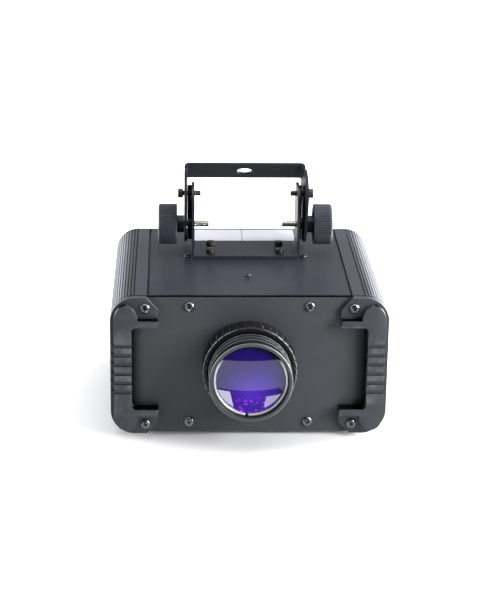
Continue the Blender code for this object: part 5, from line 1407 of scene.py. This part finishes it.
def makeKnobs():
    k = knobSet
    radius = k["radius"]
    inner = k["inner"]
    outer = k["outer"]
    socket = k["studRadius"] + gap
    socketEnd = inner + k["socketDepth"] + gap
    floor = inner + k["hollowDepth"]
    edge = k["edge"]
    face = [(0.0, outer - k["bossDepth"]), (k["boss"], outer - k["bossDepth"]),
            (k["boss"] + k["bossDepth"], outer)]
    rim = arc(radius - edge, outer - edge, edge, 90.0, 0.0, 6)
    side = [(radius, outer - edge - 0.003), (radius, inner + 0.004), (radius, inner + k["rearEdge"]),
            (radius - k["rearEdge"], inner), (k["hollow"], inner), (k["hollow"], floor), (k["hub"], floor),
            (k["hub"], k["hubFace"]), (socket, k["hubFace"]), (socket, socketEnd), (0.0, socketEnd)]

    def ridges(reach, height, angle):
        if reach < radius - edge - 0.0001 or height < inner + 0.0001:
            return reach
        share = (angle / (2 * math.pi) * k["ridges"]) % 1.0
        fall = max(0.0, 1.0 - abs(share - 0.5) / k["ridgeHalf"]) ** k["ridgeCurve"]
        strength = min(1.0, (reach - (radius - edge)) / edge)
        return reach - k["ridgeDepth"] * fall * strength

    mesh = latheMesh(face + rim + side, k["ridges"] * 8, ripple=ridges)
    for label, turned in outward.items():
        nodePiece(label + "_knob", mesh, "knobPlastic", at(0.0, pivotY, pivotZ, turned), "knob_plastic",
                  body=label + "_knob", sharp=40.0)


def makeStuds():
    k = knobSet
    outer = k["inner"] + k["socketDepth"]
    threadEnd = k["hubFace"] + 0.002
    threadStart = k["studInner"] + k["studPointLength"]
    shank = k["studShank"]
    profile = [(0.0, outer), (shank, outer), (shank, threadEnd + 0.0005)]
    profile += threadedProfile(k["studRadius"], threadStart, threadEnd, k["threadPitch"], 8)
    profile += [(k["studPoint"], k["studInner"]), (0.0, k["studInner"])]
    thread = threadRipple(k["threadPitch"], k["threadDepth"], threadStart - 0.0001, threadEnd + 0.0001)
    mesh = latheMesh(profile, 32, ripple=thread)
    for label, turned in outward.items():
        nodePiece(label + "_knob_stud", mesh, "brightSteel", at(0.0, pivotY, pivotZ, turned),
                  "bright_steel", body=label + "_knob_stud")


# Label

labelSet = {"front": 0.1640, "rear": 0.2000, "half": 0.0500, "middle": -0.0010, "slit": 0.0003,
            "corner": 0.0012, "thickness": 0.00012, "lift": 0.00002}


def makeLabel():
    s = labelSet
    for name, low, high in (("label-left", -s["half"], s["middle"] - s["slit"]),
                            ("label-right", s["middle"] + s["slit"], s["half"])):
        loop = roundedBox(low, s["front"], high, s["rear"], s["corner"], 4)
        mesh = plateMesh([loop], s["thickness"], turned=toTop)
        newPiece(name, mesh, "labelFilm", at(0.0, 0.0, bodyHeight + s["lift"] + s["thickness"] / 2))


# Rear panel and what it carries

rearSet = {
    "thickness": 0.0020,
    "edge": 0.0003,
    "corner": 0.0217,
    "windowCorner": 0.0008,
    "grille": 0.0360,
    "rings": 5,
    "web": 0.0026,
    "spokes": 4,
    "spokeWidth": 0.0046,
    "spokeFlare": 1.5,                    # degrees
    "slotSoftness": 0.0008,
    "controlX": 0.0800,
    "display": (0.0360, 0.0180, 0.0980),  # width, height and middle
    "buttonNames": ("menu_button_1", "menu_button_2", "menu_button_3", "menu_button_4"),
    "buttonRadius": 0.0036,
    "buttonHeight": 0.0740,
    "buttonProud": 0.0022,
    "buttonGap": 0.0004,
    "buttonFlange": (0.0047, -0.0023, -0.0050),  # radius, front and rear
    "inlet": (0.0300, 0.0240, 0.0340),
    "inletFlange": (0.0480, 0.0300),
    "inletCavity": (0.0240, 0.0170),
    "inletChamfer": 0.0045,
    "inletDepth": 0.0190,
    "inletShell": 0.0220,
    "inletScrew": 0.0200,
    "blade": (0.0020, 0.0040, 0.0150),
    "bladeLift": 0.0072,                  # its middle, from the cavity's floor
    "bladePlaces": ((-0.0070, -0.0020), (0.0, 0.0020), (0.0070, -0.0020)),
    "socketRadius": 0.0118,
    "socketFlange": (0.0260, 0.0310),
    "socketCavity": 0.0088,
    "socketDepth": 0.0170,
    "socketShell": 0.0200,
    "socketScrew": (0.0095, 0.0118),
    "socketHeights": {"data_in_socket": 0.0880, "data_out_socket": 0.0420},
    "socketCores": {"data_in_socket": 0.0, "data_out_socket": 0.0075},
    "pinSeats": {"data_in_socket": 0.0168, "data_out_socket": 0.0100},
    "pinCircle": 0.0046,
    "pinAngles": (215.0, 325.0, 90.0),
    "pinRadius": 0.0013,
    "pinLength": 0.0120,
    "flange": 0.0025,
    "flangeEdge": 0.0005,
    "overcut": 0.0100,                    # longer than the usual one, since a flange stands proud
}


def grilleLoops():
    r = rearSet
    loops = []
    band = r["grille"] / (r["rings"] + 0.5)
    for ring in range(r["rings"]):
        outer = r["grille"] - ring * band
        inner = outer - band + r["web"]
        spoke = math.degrees(r["spokeWidth"] / outer) / 2 + r["spokeFlare"]
        for quarter in range(r["spokes"]):
            start = 90.0 * quarter + spoke
            end = 90.0 * (quarter + 1) - spoke
            slot = arc(0.0, lensAxis, outer, start, end, 16) + arc(0.0, lensAxis, inner, end, start, 16)
            loops.append(softCorners(slot, r["slotSoftness"]))
    return loops


def centredBox(width, height, radius, x=0.0, z=0.0):
    return roundedBox(x - width / 2, z - height / 2, x + width / 2, z + height / 2, radius, 4)


def makeRearPanel():
    r = rearSet
    edge = bodyHalf - profileSet["inset"]
    loops = [roundedBox(-edge, 0.0, edge, bodyHeight, r["corner"], 20)]
    loops += grilleLoops()
    for width, height, z in (r["display"], r["inlet"]):
        loops.append(centredBox(width + 2 * gap, height + 2 * gap, r["windowCorner"], -r["controlX"], z))
    for name in r["buttonNames"]:
        loops.append(circle(middleOf(name)[0], r["buttonHeight"], r["buttonRadius"] + r["buttonGap"], 32))
    for z in r["socketHeights"].values():
        loops.append(circle(r["controlX"], z, r["socketRadius"] + gap, 48))
    mesh = plateMesh(loops, r["thickness"], r["edge"])
    panel = nodePiece("rear_panel", mesh, "panelCoat", at(0.0, bodyDepth - r["thickness"] / 2, 0.0),
                      "powder_coat", sharp=50.0)
    flattenFaces(panel, True)


def makeDisplay():
    width, height, z = rearSet["display"]
    low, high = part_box("display_window")
    mesh = plateMesh([centredBox(width, height, 0.0010)], high.y - low.y, 0.0005, 3)
    place = at(-rearSet["controlX"], middleOf("display_window")[1], z)
    nodePiece("display_window", mesh, "displayGlass", place, "display_plastic", sharp=50.0)


def makeMenuButtons():
    r = rearSet
    proud = r["buttonProud"]
    radius = r["buttonRadius"]
    wide, front, rear = r["buttonFlange"]
    profile = softCorners([(0.0, proud - 0.0004), (radius * 0.55, proud - 0.0002), (radius - 0.0003, proud),
                           (radius, proud - 0.0006), (radius, front), (wide, front), (wide, rear),
                           (0.0, rear)], 0.0003, False)
    mesh = latheMesh(profile, 36)
    for name in r["buttonNames"]:
        place = at(middleOf(name)[0], bodyDepth, r["buttonHeight"], toBack)
        nodePiece(name, mesh, "knobPlastic", place, "black_plastic", body=name)


flangeScrew = {"shank": 0.0012, "radius": 0.0024, "height": 0.0013, "length": 0.0040, "recess": 0.60,
               "seat": 0.0012, "well": 0.0028}


def flangeScrewMesh():
    return panHeadMesh(*(flangeScrew[key] for key in ("shank", "radius", "height", "length", "recess")))


def screwWell(x, z):
    # A flange's counterbore, which keeps a screw's head flush
    well = cylinderMesh(flangeScrew["well"], flangeScrew["seat"] - 0.0001, rearSet["overcut"], 32)
    return moved(well, Matrix.Translation((x, 0.0, z)) @ toBack)


def flangeMesh(width, height, corner):
    r = rearSet
    return plateBetween([centredBox(width, height, corner)], gap, gap + r["flange"], r["flangeEdge"])


def makePowerInlet():
    r = rearSet
    width, height, z = r["inlet"]
    flange = flangeMesh(*r["inletFlange"], 0.0040)
    shell = plateBetween([centredBox(width, height, 0.0015)], -r["inletShell"], gap + r["flange"] / 2)
    halfX, halfZ = (size / 2 for size in r["inletCavity"])
    cut = r["inletChamfer"]
    mouth = softCorners([(-halfX, -halfZ), (halfX, -halfZ), (halfX, halfZ - cut), (halfX - cut, halfZ),
                         (-halfX + cut, halfZ), (-halfX, halfZ - cut)], 0.0010)
    cavity = plateBetween([mouth], -r["inletDepth"], r["overcut"])
    wells = [screwWell(side * r["inletScrew"], 0.0) for side in (-1, 1)]
    mesh = carved(flange, [cavity] + wells, [shell])
    nodePiece("power_inlet", mesh, "blackPlastic", at(-r["controlX"], bodyDepth, z), "black_plastic",
              sharp=40.0)
    bladeWidth, bladeHeight, bladeLength = r["blade"]
    blade = plateMesh([centredBox(bladeWidth, bladeHeight, 0.0003)], bladeLength, 0.0002)
    for number, (x, up) in enumerate(r["bladePlaces"], 1):
        place = at(-r["controlX"] + x, bodyDepth - r["inletDepth"] + r["bladeLift"], z + up)
        newPiece("inlet-pin-" + str(number), blade, "brightSteel", place, slot="bright_steel")
    screw = flangeScrewMesh()
    for label, side in sides.items():
        place = at(-r["controlX"] + side * r["inletScrew"], bodyDepth + flangeScrew["seat"], z, toBack)
        looseScrew("inlet-screw-" + label, screw, place)


def makeDataSockets():
    r = rearSet
    screw = flangeScrewMesh()
    radius = r["pinRadius"]
    length = r["pinLength"]
    pin = latheMesh([(0.0, length), (radius * 0.5, length - 0.0001), (radius, length - radius * 0.7),
                     (radius, 0.0), (0.0, 0.0)], 20)
    screwX, screwZ = r["socketScrew"]
    for name, z in r["socketHeights"].items():
        flange = flangeMesh(*r["socketFlange"], 0.0025)
        shell = cylinderMesh(r["socketRadius"], -r["socketShell"], gap + r["flange"] / 2, 64)
        cavity = cylinderMesh(r["socketCavity"], -r["socketDepth"], r["overcut"], 64, r["socketCores"][name])
        wells = [screwWell(side * screwX, side * screwZ) for side in (-1, 1)]
        mesh = carved(flange, wells + [moved(cavity, toBack)], [moved(shell, toBack)])
        nodePiece(name, mesh, "blackPlastic", at(r["controlX"], bodyDepth, z), "black_plastic", sharp=40.0)
        depth = bodyDepth - r["pinSeats"][name]
        for number, angle in enumerate(r["pinAngles"], 1):
            x = r["controlX"] + r["pinCircle"] * math.cos(math.radians(angle))
            up = z + r["pinCircle"] * math.sin(math.radians(angle))
            pinName = name.replace("_socket", "-pin-" + str(number)).replace("_", "-")
            newPiece(pinName, pin, "brightSteel", at(x, depth, up, toBack), slot="bright_steel")
        for label, side in (("upper", 1), ("lower", -1)):
            x = r["controlX"] + side * screwX
            place = at(x, bodyDepth + flangeScrew["seat"], z + side * screwZ, toBack)
            looseScrew(name + "-screw-" + label, screw, place)


fanSet = {
    "hub": 0.0150,
    "reach": 0.0360,
    "depth": 0.0130,
    "blades": 7,
    "bladeSteps": 8,
    "bladeHalf": 0.0006,       # half a blade's thickness
    "overlap": 0.001,          # into the hub
    "bladeInset": 0.0010,      # of the blades from the hub's ends
    "sweepCurve": 1.5,
    "hubSoftness": 0.0010,
    "twist": 38.0,
    "rootTwist": 14.0,         # more at the hub
    "sweep": 24.0,
}


def makeFanRotor():
    f = fanSet
    half = f["depth"] / 2
    root = f["hub"] - f["overlap"]
    corners = [(0.0, half), (f["hub"], half), (f["hub"], -half), (0.0, -half)]
    bm = bmesh.new()
    bm.from_mesh(latheMesh(softCorners(corners, f["hubSoftness"], False), 48))
    for blade in range(f["blades"]):
        rows = []
        for step in range(f["bladeSteps"] + 1):
            share = step / f["bladeSteps"]
            reach = root + (f["reach"] - root) * share
            turn = 2 * math.pi * blade / f["blades"] + math.radians(f["sweep"]) * share ** f["sweepCurve"]
            twist = math.radians(f["twist"] + f["rootTwist"] * (1 - share))
            chord = (half - f["bladeInset"]) / math.sin(twist)
            row = []
            for side, face in ((-1, -1), (1, -1), (1, 1), (-1, 1)):
                offset = face * f["bladeHalf"]
                angle = turn + side * chord * math.cos(twist) / reach + offset / reach
                row.append(bm.verts.new((reach * math.cos(angle), reach * math.sin(angle),
                                         side * chord * math.sin(twist) + offset * 0.4)))
            rows.append(row)
        for inner, outer in zip(rows, rows[1:]):
            for corner in range(4):
                after = (corner + 1) % 4
                bm.faces.new((inner[corner], inner[after], outer[after], outer[corner]))
        bm.faces.new(rows[0])
        bm.faces.new(reversed(rows[-1]))
    bmesh.ops.recalc_face_normals(bm, faces=bm.faces)
    place = at(0.0, middleOf("fan_rotor")[1], lensAxis, toBack)
    nodePiece("fan_rotor", meshFrom(bm), "blackPlastic", place, "black_plastic", body="fan_rotor")


dressKeptNodes()
makeSideProfiles()
makeGuards()
print("body dressed")
makeFrontScrews()
makeCoverScrews()
makeSaddleBolts()
makeLimitBolts()
makeFeet()
print("screws, bolts and feet made")
makeLens()
makeRetainingRing()
makeBarrel()
makeFocusRing()
print("lens made")
makeKnobs()
makeStuds()
makeLabel()
print("knobs, studs and label made")
makeRearPanel()
makeDisplay()
makeMenuButtons()
makePowerInlet()
makeDataSockets()
makeFanRotor()
print("rear panel made")
